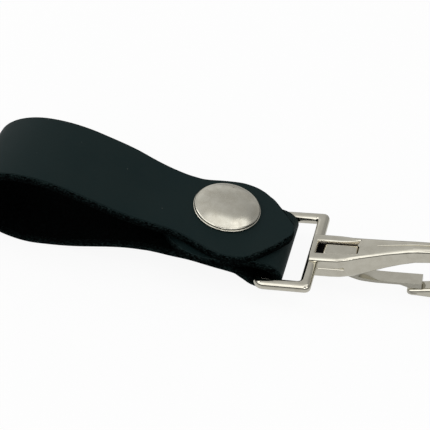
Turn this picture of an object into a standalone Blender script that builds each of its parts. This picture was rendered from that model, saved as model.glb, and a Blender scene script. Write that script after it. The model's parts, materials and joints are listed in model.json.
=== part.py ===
"""Leather belt-loop key ring: a strap closed by a snap, and a spring hook on a cast frame.

Lengths are in metres and angles in degrees. Places along the object are measured from the
axis of the frame's strap bar, the hook pointing to +X and the belt loop to -X. Heights are
measured from the table. The hook has a frame of its own, tilted about the strap bar.
"""
import math

import bmesh
import bpy
from mathutils import Matrix, Vector

# Leather strap
LEATHER_THICKNESS = 0.0020
BAND_WIDTH = 0.0204
WAIST_WIDTH = 0.0191
NECK_WIDTH = 0.0180
HEAD_WIDTH = 0.0234
HEAD_REACH = 0.0155
STRAP_SIDE_OFFSET = 0.00025
LOOP_CENTRE_REACH = 0.0520
LOOP_END_DEPTH = 0.0134
LOOP_HEIGHT = 0.0172
LOWER_HUMP_RISE = 0.00457
SPLIT_GAP = 0.0003

# Fold round the strap bar
FOLD_CENTRE_REACH = 0.0002
FOLD_HALF_LENGTH = 0.00365
FOLD_CLEARANCE = 0.0003
FOLD_HEADROOM = 0.0008
FLAP_GAP = 0.0003
FLAP_SWELL = 0.0003

# Snap fastener
SNAP_REACH = 0.0104
SNAP_SIDE_OFFSET = 0.0024
SNAP_TILT = 6.2
SNAP_FLAT_LENGTH = 0.0098
CAP_FLAT_LENGTH = 0.0130
SNAP_LOWER_HEIGHT = 0.00485
HEAD_GAP = 0.00045
CAP_RADIUS = 0.0074
CAP_HEIGHT = 0.0022
CAP_RIM_HEIGHT = 0.0006
CAP_POST_RADIUS = 0.0015
SEAT_GAP = 0.0002
HOLE_CLEARANCE = 0.0003
SOCKET_RADIUS = 0.0050
SOCKET_SINK = 0.0011
SOCKET_PROUD = 0.0003
SOCKET_MOUTH_RADIUS = 0.0024
SOCKET_PLATE = 0.0004
GROOVE_DEPTH = 0.0009
GROOVE_HEIGHT = 0.0007
RING_WIRE_RADIUS = 0.0002
RING_OPENING = 40.0
STUD_FLANGE_RADIUS = 0.0044
STUD_FLANGE_THICKNESS = 0.0005
STUD_SINK = 0.0006
STUD_HEAD_RADIUS = 0.00205
STUD_NECK_RADIUS = 0.00175
STUD_HEIGHT = 0.0009
POST_RADIUS = 0.0012
POST_FLANGE_RADIUS = 0.0045
POST_FLANGE_THICKNESS = 0.0005
POST_SINK = 0.0003
BORE_CLEARANCE = 0.0002

# Frame of the hook
BAR_HEIGHT = 0.00362
HOOK_TILT = 10.4
FRAME_THICKNESS = 0.0022
FRAME_ROUNDING = 0.00095
STRAP_BAR_WIDTH = 0.0020
FRAME_OPENING_LENGTH = 0.0080
FRAME_OPENING_WIDTH = 0.0195
FRAME_SIDE_WIDTH = 0.0023
HOOK_BAR_WIDTH = 0.0025
STRAP_BAR_CORNER = 0.0023
HOOK_BAR_CORNER = 0.0013
FRAME_INNER_CORNER = 0.0004

# Hook body
ROOT_OVERLAP = 0.0009
ROOT_TOP = 0.00186
ROOT_BOTTOM = -0.0034
ROOT_WIDTH = 0.0083
ARM_LENGTH = 0.0249
CREST_TOP = 0.00406
CREST_BOTTOM = 0.00045
TIP_WIDTH = 0.0033
BEND_LENGTH = 0.00525
NOSE_INNER = -0.0069
NOSE_THICKNESS = 0.0026
NOSE_TIP_THICKNESS = 0.0015
NOSE_LENGTH = 0.0050
NOSE_DROP = 0.0007
BODY_ROUNDING = 0.0008
ARM_RIDGE = 0.0002
SIDE_RIDGE = 0.0001

# Gate, pin and spring
POCKET_START = 0.0108
POCKET_LENGTH = 0.0091
GATE_WIDTH = 0.0032
GATE_SIDE_CLEARANCE = 0.00035
GATE_END_CLEARANCE = 0.0004
GATE_HEEL_CLEARANCE = 0.0014
PIN_REACH = 0.0140
PIN_DEPTH = 0.0013
PIN_RADIUS = 0.00075
PIN_CLEARANCE = 0.00015
PIN_WALL = 0.0009
TAIL_SINK = 0.0006
TAIL_THICKNESS = 0.0009
GATE_EAR = 0.0005
GATE_ARM_DEPTH = 0.0055
GATE_ARM_THICKNESS = 0.0006
GATE_OVERLAP = 0.0032
GATE_TIP_LENGTH = 0.0030
GATE_TIP_GAP = 0.0003
SPRING_WIRE_RADIUS = 0.00017
SPRING_COIL_RADIUS = 0.0012
SPRING_PITCH = 0.0006
SPRING_TURNS = 2
SPRING_LEG = 0.0020

# Smoothness of the meshes
ROUTE_STEPS = 3
STRAP_COLUMNS = 8
HEAD_ROWS = 7
TURN_STEPS = 40
CORNER_STEPS = 4
COIL_POINTS = 14
LOOP_POINTS = 6
FOLD_POINTS = 9
RIM_POINTS = 9
ROUNDING_STEPS = 2
LEATHER_SHARP_ANGLE = 50
TURNED_SHARP_ANGLE = 35
CAST_SHARP_ANGLE = 30
CUT_OVERRUN = 0.002
MERGE_DISTANCE = 0.000001

# Shares, chosen by hand, of the sizes that the outlines follow
UPPER_RUN_SHARES = ((0.118, 0.98), (0.237, 0.90), (0.338, 0.79), (0.437, 0.672), (0.535, 0.544),
                    (0.634, 0.404), (0.732, 0.287), (0.831, 0.199), (0.930, 0.131))
LOWER_RUN_SHARES = ((0.113, 0.10), (0.226, 0.252), (0.324, 0.427), (0.418, 0.628), (0.512, 0.814),
                    (0.607, 0.941), (0.701, 0.996), (0.795, 0.996), (0.890, 0.967))
FOLD_APPROACH_SHARES = ((0.38, 0.28), (0.70, 0.66))
HEAD_TIP_SHARES = ((0.60, 0.36), (0.80, 0.32), (1.05, 0.22))
HEAD_BACK_SHARES = ((-0.65, 0.0), (-0.49, 0.07), (-0.36, 0.25), (-0.18, 0.60), (0.025, 0.92), (0.15, 1.0))
HEAD_FRONT_SHARES = ((0.30, 0.98), (0.43, 0.915), (0.51, 0.846), (0.61, 0.74), (0.715, 0.585),
                     (0.805, 0.45), (0.90, 0.30))
BAND_START_SHARES = ((-1.68, 0.0), (-1.46, 0.10), (-1.23, 0.38), (-1.01, 0.68), (-0.78, 0.93))
FLAP_TAIL_SHARE = 1.1
FOLD_START_ANGLE = -120
FOLD_END_ANGLE = 86
DOME_SHARES = (0.25, 0.45, 0.62, 0.76, 0.88)
RIM_START_ANGLE = 80
CORNER_SHARE = 0.8
RIDGE_SHARE = 0.25
ARM_SHARES = ((0.0, 0.0, 0.0, 1.0), (0.084, 0.0, 0.0, 1.0), (0.16, 0.0, 0.0, 1.0),
              (0.245, 0.01, 0.02, 0.97), (0.345, 0.13, 0.06, 0.78), (0.426, 0.29, 0.22, 0.63),
              (0.526, 0.46, 0.41, 0.46), (0.627, 0.63, 0.60, 0.31), (0.747, 0.80, 0.80, 0.16),
              (0.871, 0.95, 0.955, 0.05), (1.0, 1.0, 1.0, 0.0))
NOSE_SHARES = (0.30, 0.55, 0.80)
NOSE_TIP_SHARES = ((0.93, 0.86, 0.92), (0.99, 0.55, 0.75), (1.0, 0.25, 0.55))
BEND_ANGLES = (80, 68, 56, 44, 32, 20, 8, -4, -16, -28, -40, -52, -64, -77, -90)
GATE_THROAT_SHARES = ((-0.10, 0.55), (-0.14, 1.0))
GATE_TOP_SHARES = ((-0.07, 0.80), (0.15, 0.925), (0.50, 0.985), (0.85, 1.0))
GATE_TIP_SHARES = ((-0.2, 0.5), (-0.5, 1.0))
GATE_TIP_LAND_SHARE = 0.9
GATE_UNDER_SHARES = ((0.50, 1.0), (0.10, 0.955), (-0.15, 0.86), (-0.42, 0.70))
GATE_HEEL_SHARES = ((0.12, 0.97), (0.0, 0.65))

ARM_START = STRAP_BAR_WIDTH / 2 + FRAME_OPENING_LENGTH + ROOT_OVERLAP
ARM_END = ARM_START + ARM_LENGTH
CREST_MIDDLE = (CREST_TOP + CREST_BOTTOM) / 2
NOSE_MIDDLE = NOSE_INNER - NOSE_THICKNESS / 2
BEND_HEIGHT = (CREST_MIDDLE - NOSE_MIDDLE) / 2
BEND_MIDDLE = (CREST_MIDDLE + NOSE_MIDDLE) / 2
GATE_ARM_REACH = ARM_END - NOSE_LENGTH + GATE_OVERLAP


def hook_end_reach():
    """How far the hook reaches from the strap bar's axis, in level measure."""
    tilt = math.radians(HOOK_TILT)
    half_wall = (CREST_TOP - CREST_BOTTOM + NOSE_THICKNESS) / 4
    centre = ARM_END * math.cos(tilt) - BEND_MIDDLE * math.sin(tilt)
    along = (BEND_LENGTH + half_wall) * math.cos(tilt)
    down = (BEND_HEIGHT + half_wall) * math.sin(tilt)
    return centre + math.hypot(along, down)


LOOP_END_REACH = LOOP_CENTRE_REACH + LOOP_END_DEPTH + LEATHER_THICKNESS / 2
BAR_X = (LOOP_END_REACH - hook_end_reach()) / 2


# Scene, collections, materials and small helpers

def empty_scene():
    for thing in list(bpy.data.objects):
        bpy.data.objects.remove(thing, do_unlink=True)


def new_collection(name):
    collection = bpy.data.collections.new(name)
    bpy.context.scene.collection.children.link(collection)
    return collection


def new_material(name, colour, roughness, metallic):
    material = bpy.data.materials.new(name)
    material.use_nodes = True
    shader = material.node_tree.nodes["Principled BSDF"]
    shader.inputs["Base Color"].default_value = (*colour, 1)
    shader.inputs["Roughness"].default_value = roughness
    shader.inputs["Metallic"].default_value = metallic
    return material


def new_empty(name, place, tilt=0.0, parent=None):
    """An axis: its Z is the local up, and its X falls by the tilt."""
    empty = bpy.data.objects.new(name, None)
    empty.location = place
    empty.rotation_euler = (0, math.radians(tilt), 0)
    empty.parent = parent
    PARTS.objects.link(empty)
    return empty


def add_object(name, data, parent=None, material=None, cutter=False):
    thing = bpy.data.objects.new(name, data)
    thing.parent = parent
    (CUTTERS if cutter else PARTS).objects.link(thing)
    if cutter:
        thing.hide_render = True
        thing.display_type = "WIRE"
    if material:
        data.materials.append(material)
    return thing


def mesh_object(name, bm, **options):
    bmesh.ops.recalc_face_normals(bm, faces=bm.faces)
    mesh = bpy.data.meshes.new(name)
    bm.to_mesh(mesh)
    bm.free()
    return add_object(name, mesh, **options)


def smooth(thing, angle=TURNED_SHARP_ANGLE):
    thing.data.shade_smooth()
    thing.data.set_sharp_from_angle(angle=math.radians(angle))
    return thing


def cut(thing, cutter):
    modifier = thing.modifiers.new(f"cut_{cutter.name}", "BOOLEAN")
    modifier.operation = "DIFFERENCE"
    modifier.solver = "EXACT"
    modifier.object = cutter


def join(thing, other):
    modifier = thing.modifiers.new(f"join_{other.name}", "BOOLEAN")
    modifier.operation = "UNION"
    modifier.solver = "EXACT"
    modifier.object = other


def turned(name, profile, **options):
    """A body turned about its own Z; the profile is (radius, height) down the outer side.

    A profile that ends where it began gives a ring.
    """
    closed = profile[0] == profile[-1]
    points = [(radius, 0, height) for radius, height in (profile[:-1] if closed else profile)]
    edges = [(k, k + 1) for k in range(len(points) - 1)]
    if closed:
        edges.append((len(points) - 1, 0))
    mesh = bpy.data.meshes.new(name)
    mesh.from_pydata(points, edges, [])
    thing = add_object(name, mesh, **options)
    screw = thing.modifiers.new("turn", "SCREW")
    screw.axis = "Z"
    screw.steps = TURN_STEPS
    screw.render_steps = TURN_STEPS
    screw.use_merge_vertices = True
    screw.merge_threshold = MERGE_DISTANCE
    return thing


def plug(name, radius, bottom, top, **options):
    """A solid cylinder about the local Z, as a cutter or a pin."""
    return turned(name, [(0, top), (radius, top), (radius, bottom), (0, bottom)], **options)


def mesh_from_curve(thing):
    """The curve's own solid, welded where its caps meet its sides."""
    bpy.context.view_layer.update()
    graph = bpy.context.evaluated_depsgraph_get()
    mesh = bpy.data.meshes.new_from_object(thing.evaluated_get(graph))
    bm = bmesh.new()
    bm.from_mesh(mesh)
    bmesh.ops.remove_doubles(bm, verts=bm.verts, dist=MERGE_DISTANCE)
    bmesh.ops.recalc_face_normals(bm, faces=bm.faces)
    bm.to_mesh(mesh)
    bm.free()
    name = thing.name
    parent = thing.parent
    basis = thing.matrix_basis.copy()
    cutter = thing.hide_render
    bpy.data.objects.remove(thing, do_unlink=True)
    solid = add_object(name, mesh, parent=parent, cutter=cutter)
    solid.matrix_basis = basis
    return solid


def flat_outline(name, outlines, half_depth, rounding=0.0, **options):
    """A flat plate from closed outlines, the second one a hole, as deep as told both ways."""
    curve = bpy.data.curves.new(name, "CURVE")
    curve.dimensions = "2D"
    curve.fill_mode = "BOTH"
    curve.extrude = half_depth - rounding
    curve.bevel_depth = rounding
    curve.bevel_resolution = ROUNDING_STEPS
    curve.offset = -rounding
    for outline in outlines:
        spline = curve.splines.new("POLY")
        spline.points.add(len(outline) - 1)
        for point, (a, b) in zip(spline.points, outline):
            point.co = (a, b, 0, 1)
        spline.use_cyclic_u = True
    return add_object(name, curve, **options)


def wire(name, points, radius, sides, **options):
    """A round wire through the points, with filled ends."""
    curve = bpy.data.curves.new(name, "CURVE")
    curve.dimensions = "3D"
    curve.bevel_depth = radius
    curve.bevel_resolution = sides
    curve.use_fill_caps = True
    spline = curve.splines.new("POLY")
    spline.points.add(len(points) - 1)
    for point, place in zip(spline.points, points):
        point.co = (*place, 1)
    return add_object(name, curve, **options)


# Lines and outlines

def arc(centre, half_length, half_height, first, last, count):
    """Points on an ellipse, angles in degrees from +X towards up."""
    points = []
    for k in range(count):
        angle = math.radians(first + (last - first) * k / (count - 1))
        points.append((centre[0] + half_length * math.cos(angle),
                       centre[1] + half_height * math.sin(angle)))
    return points


def smooth_line(points, steps, before=None):
    """A smooth line through every point; the point before the first one sets how it sets off."""
    first = before or (2 * points[0][0] - points[1][0], 2 * points[0][1] - points[1][1])
    last = (2 * points[-1][0] - points[-2][0], 2 * points[-1][1] - points[-2][1])
    ends = [Vector(p) for p in [first, *points, last]]
    line = []
    for a, b, c, d in zip(ends, ends[1:], ends[2:], ends[3:]):
        for k in range(steps):
            t = k / steps
            bend = (2 * b + (c - a) * t + (2 * a - 5 * b + 4 * c - d) * t ** 2
                    + (3 * b - a - 3 * c + d) * t ** 3)
            line.append(bend / 2)
    line.append(ends[-2])
    return line


def distances(line):
    """How far along the line each of its points lies."""
    total = [0.0]
    for a, b in zip(line, line[1:]):
        total.append(total[-1] + (b - a).length)
    return total


def between(pairs, place):
    """The value at a place, on straight lines between (place, value) pairs."""
    for (a, first), (b, second) in zip(pairs, pairs[1:]):
        if place <= b:
            share = max(0.0, (place - a) / (b - a))
            return first + (second - first) * share
    return pairs[-1][1]


def point_along(line, lengths, place):
    """The point at a distance along the line; past the end it goes straight on."""
    for k in range(1, len(line)):
        if place <= lengths[k] or k == len(line) - 1:
            share = (place - lengths[k - 1]) / (lengths[k] - lengths[k - 1])
            return line[k - 1].lerp(line[k], share) if share <= 1 else (
                line[k] + (line[k] - line[k - 1]) * (share - 1))
    return line[-1]


def nearest_place(line, lengths, reach, first=0):
    """The distance along the line where it crosses the upright at -reach, from a point on."""
    for k in range(first + 1, len(line)):
        a, b = line[k - 1][0] + reach, line[k][0] + reach
        if a * b <= 0 and a != b:
            share = a / (a - b)
            return lengths[k - 1] + share * (lengths[k] - lengths[k - 1])
    return lengths[-1]


# Strap

LOOP_MIDDLE = LEATHER_THICKNESS / 2 + LOOP_HEIGHT / 2
STACK_STEP = LEATHER_THICKNESS + FLAP_GAP
FLAP_HEIGHT = SNAP_LOWER_HEIGHT + STACK_STEP
UPPER_HEIGHT = FLAP_HEIGHT + LEATHER_THICKNESS + HEAD_GAP
FOLD_BOTTOM = BAR_HEIGHT - FRAME_THICKNESS / 2 - FOLD_CLEARANCE - LEATHER_THICKNESS / 2
FOLD_TOP = BAR_HEIGHT + FRAME_THICKNESS / 2 + FOLD_HEADROOM + LEATHER_THICKNESS / 2


def snap_flat(height, length=SNAP_FLAT_LENGTH):
    """The straight stretch of a ply at the snap, from the loop's side to the bar's side."""
    half = length / 2
    rise = half * math.tan(math.radians(SNAP_TILT))
    return [(-SNAP_REACH - half, height + rise), (-SNAP_REACH, height), (-SNAP_REACH + half, height - rise)]


def run_points(shares, start_height, end_height, flat_length=SNAP_FLAT_LENGTH):
    """A ply between the loop's crest or belly and its flat stretch; the second share is of the rise."""
    length = LOOP_CENTRE_REACH - SNAP_REACH - flat_length / 2
    return [(-LOOP_CENTRE_REACH + along * length, start_height + up * (end_height - start_height))
            for along, up in shares]


def split_angle():
    return math.degrees(SPLIT_GAP / LOOP_HEIGHT)


def lower_run():
    belly = LEATHER_THICKNESS / 2
    points = arc((-LOOP_CENTRE_REACH, LOOP_MIDDLE), LOOP_END_DEPTH, LOOP_HEIGHT / 2,
                 180 + split_angle(), 270, LOOP_POINTS)
    points += run_points(LOWER_RUN_SHARES, belly, belly + LOWER_HUMP_RISE)
    return points + snap_flat(SNAP_LOWER_HEIGHT)


def fold():
    """The turn of the leather round the strap bar, from below the bar to above it."""
    centre = (FOLD_CENTRE_REACH, (FOLD_TOP + FOLD_BOTTOM) / 2)
    points = arc(centre, FOLD_HALF_LENGTH, (FOLD_TOP - FOLD_BOTTOM) / 2,
                 FOLD_START_ANGLE, FOLD_END_ANGLE, FOLD_POINTS)
    start = snap_flat(SNAP_LOWER_HEIGHT)[-1]
    end = points[0]
    approach = [(start[0] + along * (end[0] - start[0]), start[1] + down * (end[1] - start[1]))
                for along, down in FOLD_APPROACH_SHARES]
    return approach + points


def flap():
    """The end that comes back over the lower run, lying on it up to the tip of its head."""
    tail = [p for p in reversed(lower_run()) if p[0] >= -SNAP_REACH - FLAP_TAIL_SHARE * HEAD_REACH]
    lying = [(x, z + STACK_STEP) for x, z in tail]
    bar_side = lying[0]
    swell = (bar_side[0] / 2, (bar_side[1] + FOLD_TOP) / 2 + FLAP_SWELL / 2)
    return [swell] + lying


def upper_run():
    crest = LOOP_MIDDLE + LOOP_HEIGHT / 2
    points = arc((-LOOP_CENTRE_REACH, LOOP_MIDDLE), LOOP_END_DEPTH, LOOP_HEIGHT / 2,
                 180 - split_angle(), 90, LOOP_POINTS)
    falling = [(along, 1 - up) for along, up in UPPER_RUN_SHARES]
    points += run_points(falling, crest, UPPER_HEIGHT, CAP_FLAT_LENGTH)
    points += snap_flat(UPPER_HEIGHT, CAP_FLAT_LENGTH)
    for along, drop in HEAD_TIP_SHARES:
        points.append((-SNAP_REACH + along * HEAD_REACH, UPPER_HEIGHT - drop * LEATHER_THICKNESS))
    return points


def head_widths(axis_place):
    """Half widths round a head, from its neck to the last straight row, by distance."""
    neck = NECK_WIDTH / 2
    head = HEAD_WIDTH / 2
    back = [(axis_place + along * HEAD_REACH, neck + grow * (head - neck))
            for along, grow in HEAD_BACK_SHARES]
    front = [(axis_place + along * HEAD_REACH, grow * head) for along, grow in HEAD_FRONT_SHARES]
    return back + front


def band_widths(axis_place, narrow_width):
    """Half widths where the loop's band narrows on its way to the snap."""
    band = BAND_WIDTH / 2
    change = (narrow_width - BAND_WIDTH) / 2
    return [(0.0, band)] + [(axis_place + along * HEAD_REACH, band + narrow * change)
                            for along, narrow in BAND_START_SHARES]


def strap(name, points, snap_crossings, origin, **options):
    """A ply of leather along the route, its outline narrowing to a neck and ending in a head."""
    across_split = (points[1][0], 2 * LOOP_MIDDLE - points[1][1])
    line = smooth_line(points, ROUTE_STEPS, across_split)
    lengths = distances(line)
    first_axis = nearest_place(line, lengths, SNAP_REACH)
    axis = first_axis
    widths = band_widths(first_axis, NECK_WIDTH)
    if snap_crossings == 2:
        past = next(k for k, p in enumerate(line) if p[0] > 0)
        axis = nearest_place(line, lengths, SNAP_REACH, past)
        widths = band_widths(first_axis, WAIST_WIDTH)
        widths.append((first_axis + SNAP_FLAT_LENGTH / 2, WAIST_WIDTH / 2))
        widths.append((first_axis + SNAP_REACH, NECK_WIDTH / 2))
    widths += head_widths(axis)
    bow_start = axis + HEAD_BACK_SHARES[-1][0] * HEAD_REACH
    last_row = axis + HEAD_FRONT_SHARES[-1][0] * HEAD_REACH
    tip_bow = axis + HEAD_REACH - last_row
    rows = [place for place in lengths if place < bow_start - LEATHER_THICKNESS / 2]
    rows += [bow_start + (last_row - bow_start) * k / HEAD_ROWS for k in range(HEAD_ROWS + 1)]
    bm = bmesh.new()
    bmesh.ops.create_grid(bm, x_segments=STRAP_COLUMNS, y_segments=len(rows) - 1, size=1)
    for vertex in bm.verts:
        across = vertex.co.x
        row = rows[round((vertex.co.y + 1) / 2 * (len(rows) - 1))]
        bow = tip_bow * max(0.0, (row - bow_start) / (last_row - bow_start)) ** 2
        x, z = point_along(line, lengths, row + bow * (1 - across ** 2))
        y = STRAP_SIDE_OFFSET + across * between(widths, row)
        vertex.co = Vector((BAR_X + x, y, z)) - origin
    thing = mesh_object(name, bm, **options)
    wall = thing.modifiers.new("thickness", "SOLIDIFY")
    wall.thickness = LEATHER_THICKNESS
    wall.offset = 0
    wall.use_even_offset = True
    return smooth(thing, LEATHER_SHARP_ANGLE)


# Snap fastener; heights are from the middle of the upper ply, along the snap's axis

UPPER_TOP = LEATHER_THICKNESS / 2
UPPER_UNDERSIDE = -UPPER_TOP
FLAP_TOP = UPPER_UNDERSIDE - HEAD_GAP
FLAP_UNDERSIDE = FLAP_TOP - LEATHER_THICKNESS
LOWER_TOP = FLAP_UNDERSIDE - FLAP_GAP
LOWER_UNDERSIDE = LOWER_TOP - LEATHER_THICKNESS
SOCKET_TOP = UPPER_UNDERSIDE + SOCKET_SINK - SEAT_GAP
SOCKET_BOTTOM = UPPER_UNDERSIDE - SOCKET_PROUD
GROOVE_TOP = SOCKET_TOP - SOCKET_PLATE
GROOVE_BOTTOM = GROOVE_TOP - GROOVE_HEIGHT
STUD_FLANGE_BOTTOM = FLAP_TOP - STUD_SINK + SEAT_GAP
STUD_FLANGE_TOP = STUD_FLANGE_BOTTOM + STUD_FLANGE_THICKNESS
STUD_TOP = STUD_FLANGE_TOP + STUD_HEIGHT
STUD_WALL = STUD_NECK_RADIUS - POST_RADIUS - BORE_CLEARANCE
POST_TOP = STUD_TOP - STUD_WALL - SEAT_GAP
POST_FLANGE_TOP = LOWER_UNDERSIDE + POST_SINK - SEAT_GAP
POST_FLANGE_BOTTOM = POST_FLANGE_TOP - POST_FLANGE_THICKNESS
CAP_POST_BOTTOM = STUD_TOP + SEAT_GAP
CAP_HOLE_RADIUS = CAP_POST_RADIUS + HOLE_CLEARANCE


def cap_profile():
    """A low dome with a rounded rim, a flat underside and the post that clinches the socket."""
    base = UPPER_TOP + SEAT_GAP
    rim = base + CAP_RIM_HEIGHT
    shoulder = CAP_RADIUS - CAP_RIM_HEIGHT
    dome_rise = CAP_HEIGHT - 2 * CAP_RIM_HEIGHT
    profile = [(0, rim + CAP_RIM_HEIGHT + dome_rise)]
    for share in DOME_SHARES:
        radius = shoulder * share
        profile.append((radius, rim + CAP_RIM_HEIGHT + dome_rise * (1 - share ** 2)))
    profile += arc((shoulder, rim), CAP_RIM_HEIGHT, CAP_RIM_HEIGHT, RIM_START_ANGLE, -90, RIM_POINTS)
    profile += [(CAP_POST_RADIUS, base), (CAP_POST_RADIUS, CAP_POST_BOTTOM), (0, CAP_POST_BOTTOM)]
    return profile


def socket_profile():
    """A ring with a plate on top, a mouth for the stud and a groove for the ring spring."""
    eye = CAP_HOLE_RADIUS
    mouth = SOCKET_MOUTH_RADIUS
    groove = SOCKET_MOUTH_RADIUS + GROOVE_DEPTH
    edge = SEAT_GAP
    return [(eye, SOCKET_TOP), (SOCKET_RADIUS - edge, SOCKET_TOP), (SOCKET_RADIUS, SOCKET_TOP - edge),
            (SOCKET_RADIUS, SOCKET_BOTTOM + edge), (SOCKET_RADIUS - edge, SOCKET_BOTTOM),
            (mouth, SOCKET_BOTTOM), (mouth, GROOVE_BOTTOM), (groove, GROOVE_BOTTOM),
            (groove, GROOVE_TOP), (eye, GROOVE_TOP), (eye, SOCKET_TOP)]


def stud_profile():
    """A flange with a hollow knob, narrower at its neck."""
    bore = POST_RADIUS + BORE_CLEARANCE
    crown = STUD_TOP - STUD_WALL
    swell = (STUD_TOP + STUD_FLANGE_TOP) / 2
    return [(0, STUD_TOP), (STUD_NECK_RADIUS, STUD_TOP), (STUD_HEAD_RADIUS, swell + SEAT_GAP),
            (STUD_HEAD_RADIUS, swell), (STUD_NECK_RADIUS, STUD_FLANGE_TOP + SEAT_GAP),
            (STUD_NECK_RADIUS, STUD_FLANGE_TOP), (STUD_FLANGE_RADIUS, STUD_FLANGE_TOP),
            (STUD_FLANGE_RADIUS, STUD_FLANGE_BOTTOM), (bore, STUD_FLANGE_BOTTOM), (bore, crown), (0, crown)]


def post_profile():
    """The flange under the lower ply and the post that goes up into the stud."""
    edge = POST_FLANGE_THICKNESS / 2
    return [(0, POST_TOP), (POST_RADIUS, POST_TOP), (POST_RADIUS, POST_FLANGE_TOP),
            (POST_FLANGE_RADIUS, POST_FLANGE_TOP), (POST_FLANGE_RADIUS, POST_FLANGE_TOP - edge),
            (POST_FLANGE_RADIUS - edge, POST_FLANGE_BOTTOM), (0, POST_FLANGE_BOTTOM)]


def socket_seat_profile():
    """What is cut from the upper ply: the post's hole, and the socket's seat below it."""
    seat = SOCKET_RADIUS + HOLE_CLEARANCE
    ceiling = UPPER_UNDERSIDE + SOCKET_SINK
    floor = UPPER_UNDERSIDE - HEAD_GAP / 2
    return [(0, UPPER_TOP + CUT_OVERRUN), (CAP_HOLE_RADIUS, UPPER_TOP + CUT_OVERRUN),
            (CAP_HOLE_RADIUS, ceiling), (seat, ceiling), (seat, floor), (0, floor)]


def stud_seat_profile():
    """What is cut from the flap and the lower ply: the stud's seat, the hole and the flange's seat."""
    seat = STUD_FLANGE_RADIUS + HOLE_CLEARANCE
    hole = POST_RADIUS + HOLE_CLEARANCE
    flange = POST_FLANGE_RADIUS + HOLE_CLEARANCE
    top = FLAP_TOP + HEAD_GAP / 2
    bottom = LOWER_UNDERSIDE - CUT_OVERRUN
    return [(0, top), (seat, top), (seat, FLAP_TOP - STUD_SINK), (hole, FLAP_TOP - STUD_SINK),
            (hole, LOWER_UNDERSIDE + POST_SINK), (flange, LOWER_UNDERSIDE + POST_SINK),
            (flange, bottom), (0, bottom)]


def ring_spring_points():
    """An open ring lying in the socket's groove."""
    radius = SOCKET_MOUTH_RADIUS + GROOVE_DEPTH / 2
    height = (GROOVE_TOP + GROOVE_BOTTOM) / 2
    count = 2 * COIL_POINTS
    points = []
    for k in range(count + 1):
        angle = math.radians(RING_OPENING / 2 + (360 - RING_OPENING) * k / count)
        points.append((radius * math.cos(angle), radius * math.sin(angle), height))
    return points


# Hook; places are (along, up) in the hook's own frame, from the strap bar's axis

def rounded_rectangle(low, high, half_width, low_corner, high_corner):
    """An outline from low to high along, half the width to each side, with its corners rounded."""
    points = []
    corners = ((high - high_corner, half_width - high_corner, high_corner, 0),
               (low + low_corner, half_width - low_corner, low_corner, 90),
               (low + low_corner, low_corner - half_width, low_corner, 180),
               (high - high_corner, high_corner - half_width, high_corner, 270))
    for along, across, corner, turn in corners:
        points += arc((along, across), corner, corner, turn, turn + 90, CORNER_STEPS + 1)
    return points


def section(half_width, half_height):
    """The hook's section, (across, up): rounded edges, a ridge on each side and one on the arm's top."""
    corner = min(BODY_ROUNDING, CORNER_SHARE * half_width, CORNER_SHARE * half_height)
    slimness = (ROOT_WIDTH - 2 * half_width) / (ROOT_WIDTH - TIP_WIDTH)
    ridge = min(ARM_RIDGE * slimness, RIDGE_SHARE * half_height)
    side = min(SIDE_RIDGE, RIDGE_SHARE * half_width)
    corners = ((half_width - corner, half_height - corner, 0, (0.0, half_height + ridge)),
               (corner - half_width, half_height - corner, 90, (-half_width - side, 0.0)),
               (corner - half_width, corner - half_height, 180, (0.0, -half_height)),
               (half_width - corner, corner - half_height, 270, (half_width + side, 0.0)))
    points = []
    for across, up, turn, middle in corners:
        points += arc((across, up), corner, corner, turn, turn + 90, CORNER_STEPS + 1)
        points.append(middle)
    return points


def hook_stations():
    """(along, up, half height, half width) down the arm, round the bend and out to the nose."""
    stations = []
    for along, top_rise, bottom_rise, width in ARM_SHARES:
        top = ROOT_TOP + top_rise * (CREST_TOP - ROOT_TOP)
        bottom = ROOT_BOTTOM + bottom_rise * (CREST_BOTTOM - ROOT_BOTTOM)
        half_width = (TIP_WIDTH + width * (ROOT_WIDTH - TIP_WIDTH)) / 2
        stations.append((ARM_START + along * ARM_LENGTH, (top + bottom) / 2, (top - bottom) / 2, half_width))
    crest = CREST_TOP - CREST_BOTTOM
    for angle in BEND_ANGLES:
        share = (90 - angle) / 180
        along = ARM_END + BEND_LENGTH * math.cos(math.radians(angle))
        up = BEND_MIDDLE + BEND_HEIGHT * math.sin(math.radians(angle))
        thickness = crest + (NOSE_THICKNESS - crest) * share
        stations.append((along, up, thickness / 2, TIP_WIDTH / 2))
    for along in NOSE_SHARES:
        thickness = NOSE_THICKNESS + (NOSE_TIP_THICKNESS - NOSE_THICKNESS) * along
        stations.append((ARM_END - along * NOSE_LENGTH, NOSE_INNER - along * NOSE_DROP - thickness / 2,
                         thickness / 2, TIP_WIDTH / 2))
    tip_middle = NOSE_INNER - NOSE_DROP - NOSE_TIP_THICKNESS / 2
    for along, height, width in NOSE_TIP_SHARES:
        stations.append((ARM_END - along * NOSE_LENGTH, tip_middle,
                         height * NOSE_TIP_THICKNESS / 2, width * TIP_WIDTH / 2))
    return stations


def loft(name, stations, **options):
    """A solid through one section per station, each square to the line of the stations."""
    centres = [Vector((along, 0, up)) for along, up, _, _ in stations]
    bm = bmesh.new()
    rings = []
    for k, (_, _, half_height, half_width) in enumerate(stations):
        before = centres[max(k - 1, 0)]
        after = centres[min(k + 1, len(centres) - 1)]
        forward = (after - before).normalized()
        up = Vector((-forward.z, 0, forward.x))
        ring = [bm.verts.new(centres[k] + up * high + Vector((0, across, 0)))
                for across, high in section(half_width, half_height)]
        rings.append(ring)
    for ring, following in zip(rings, rings[1:]):
        for k in range(len(ring)):
            after = (k + 1) % len(ring)
            bm.faces.new((ring[k], ring[after], following[after], following[k]))
    bm.faces.new(rings[0])
    bm.faces.new(rings[-1])
    return mesh_object(name, bm, **options)


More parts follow.
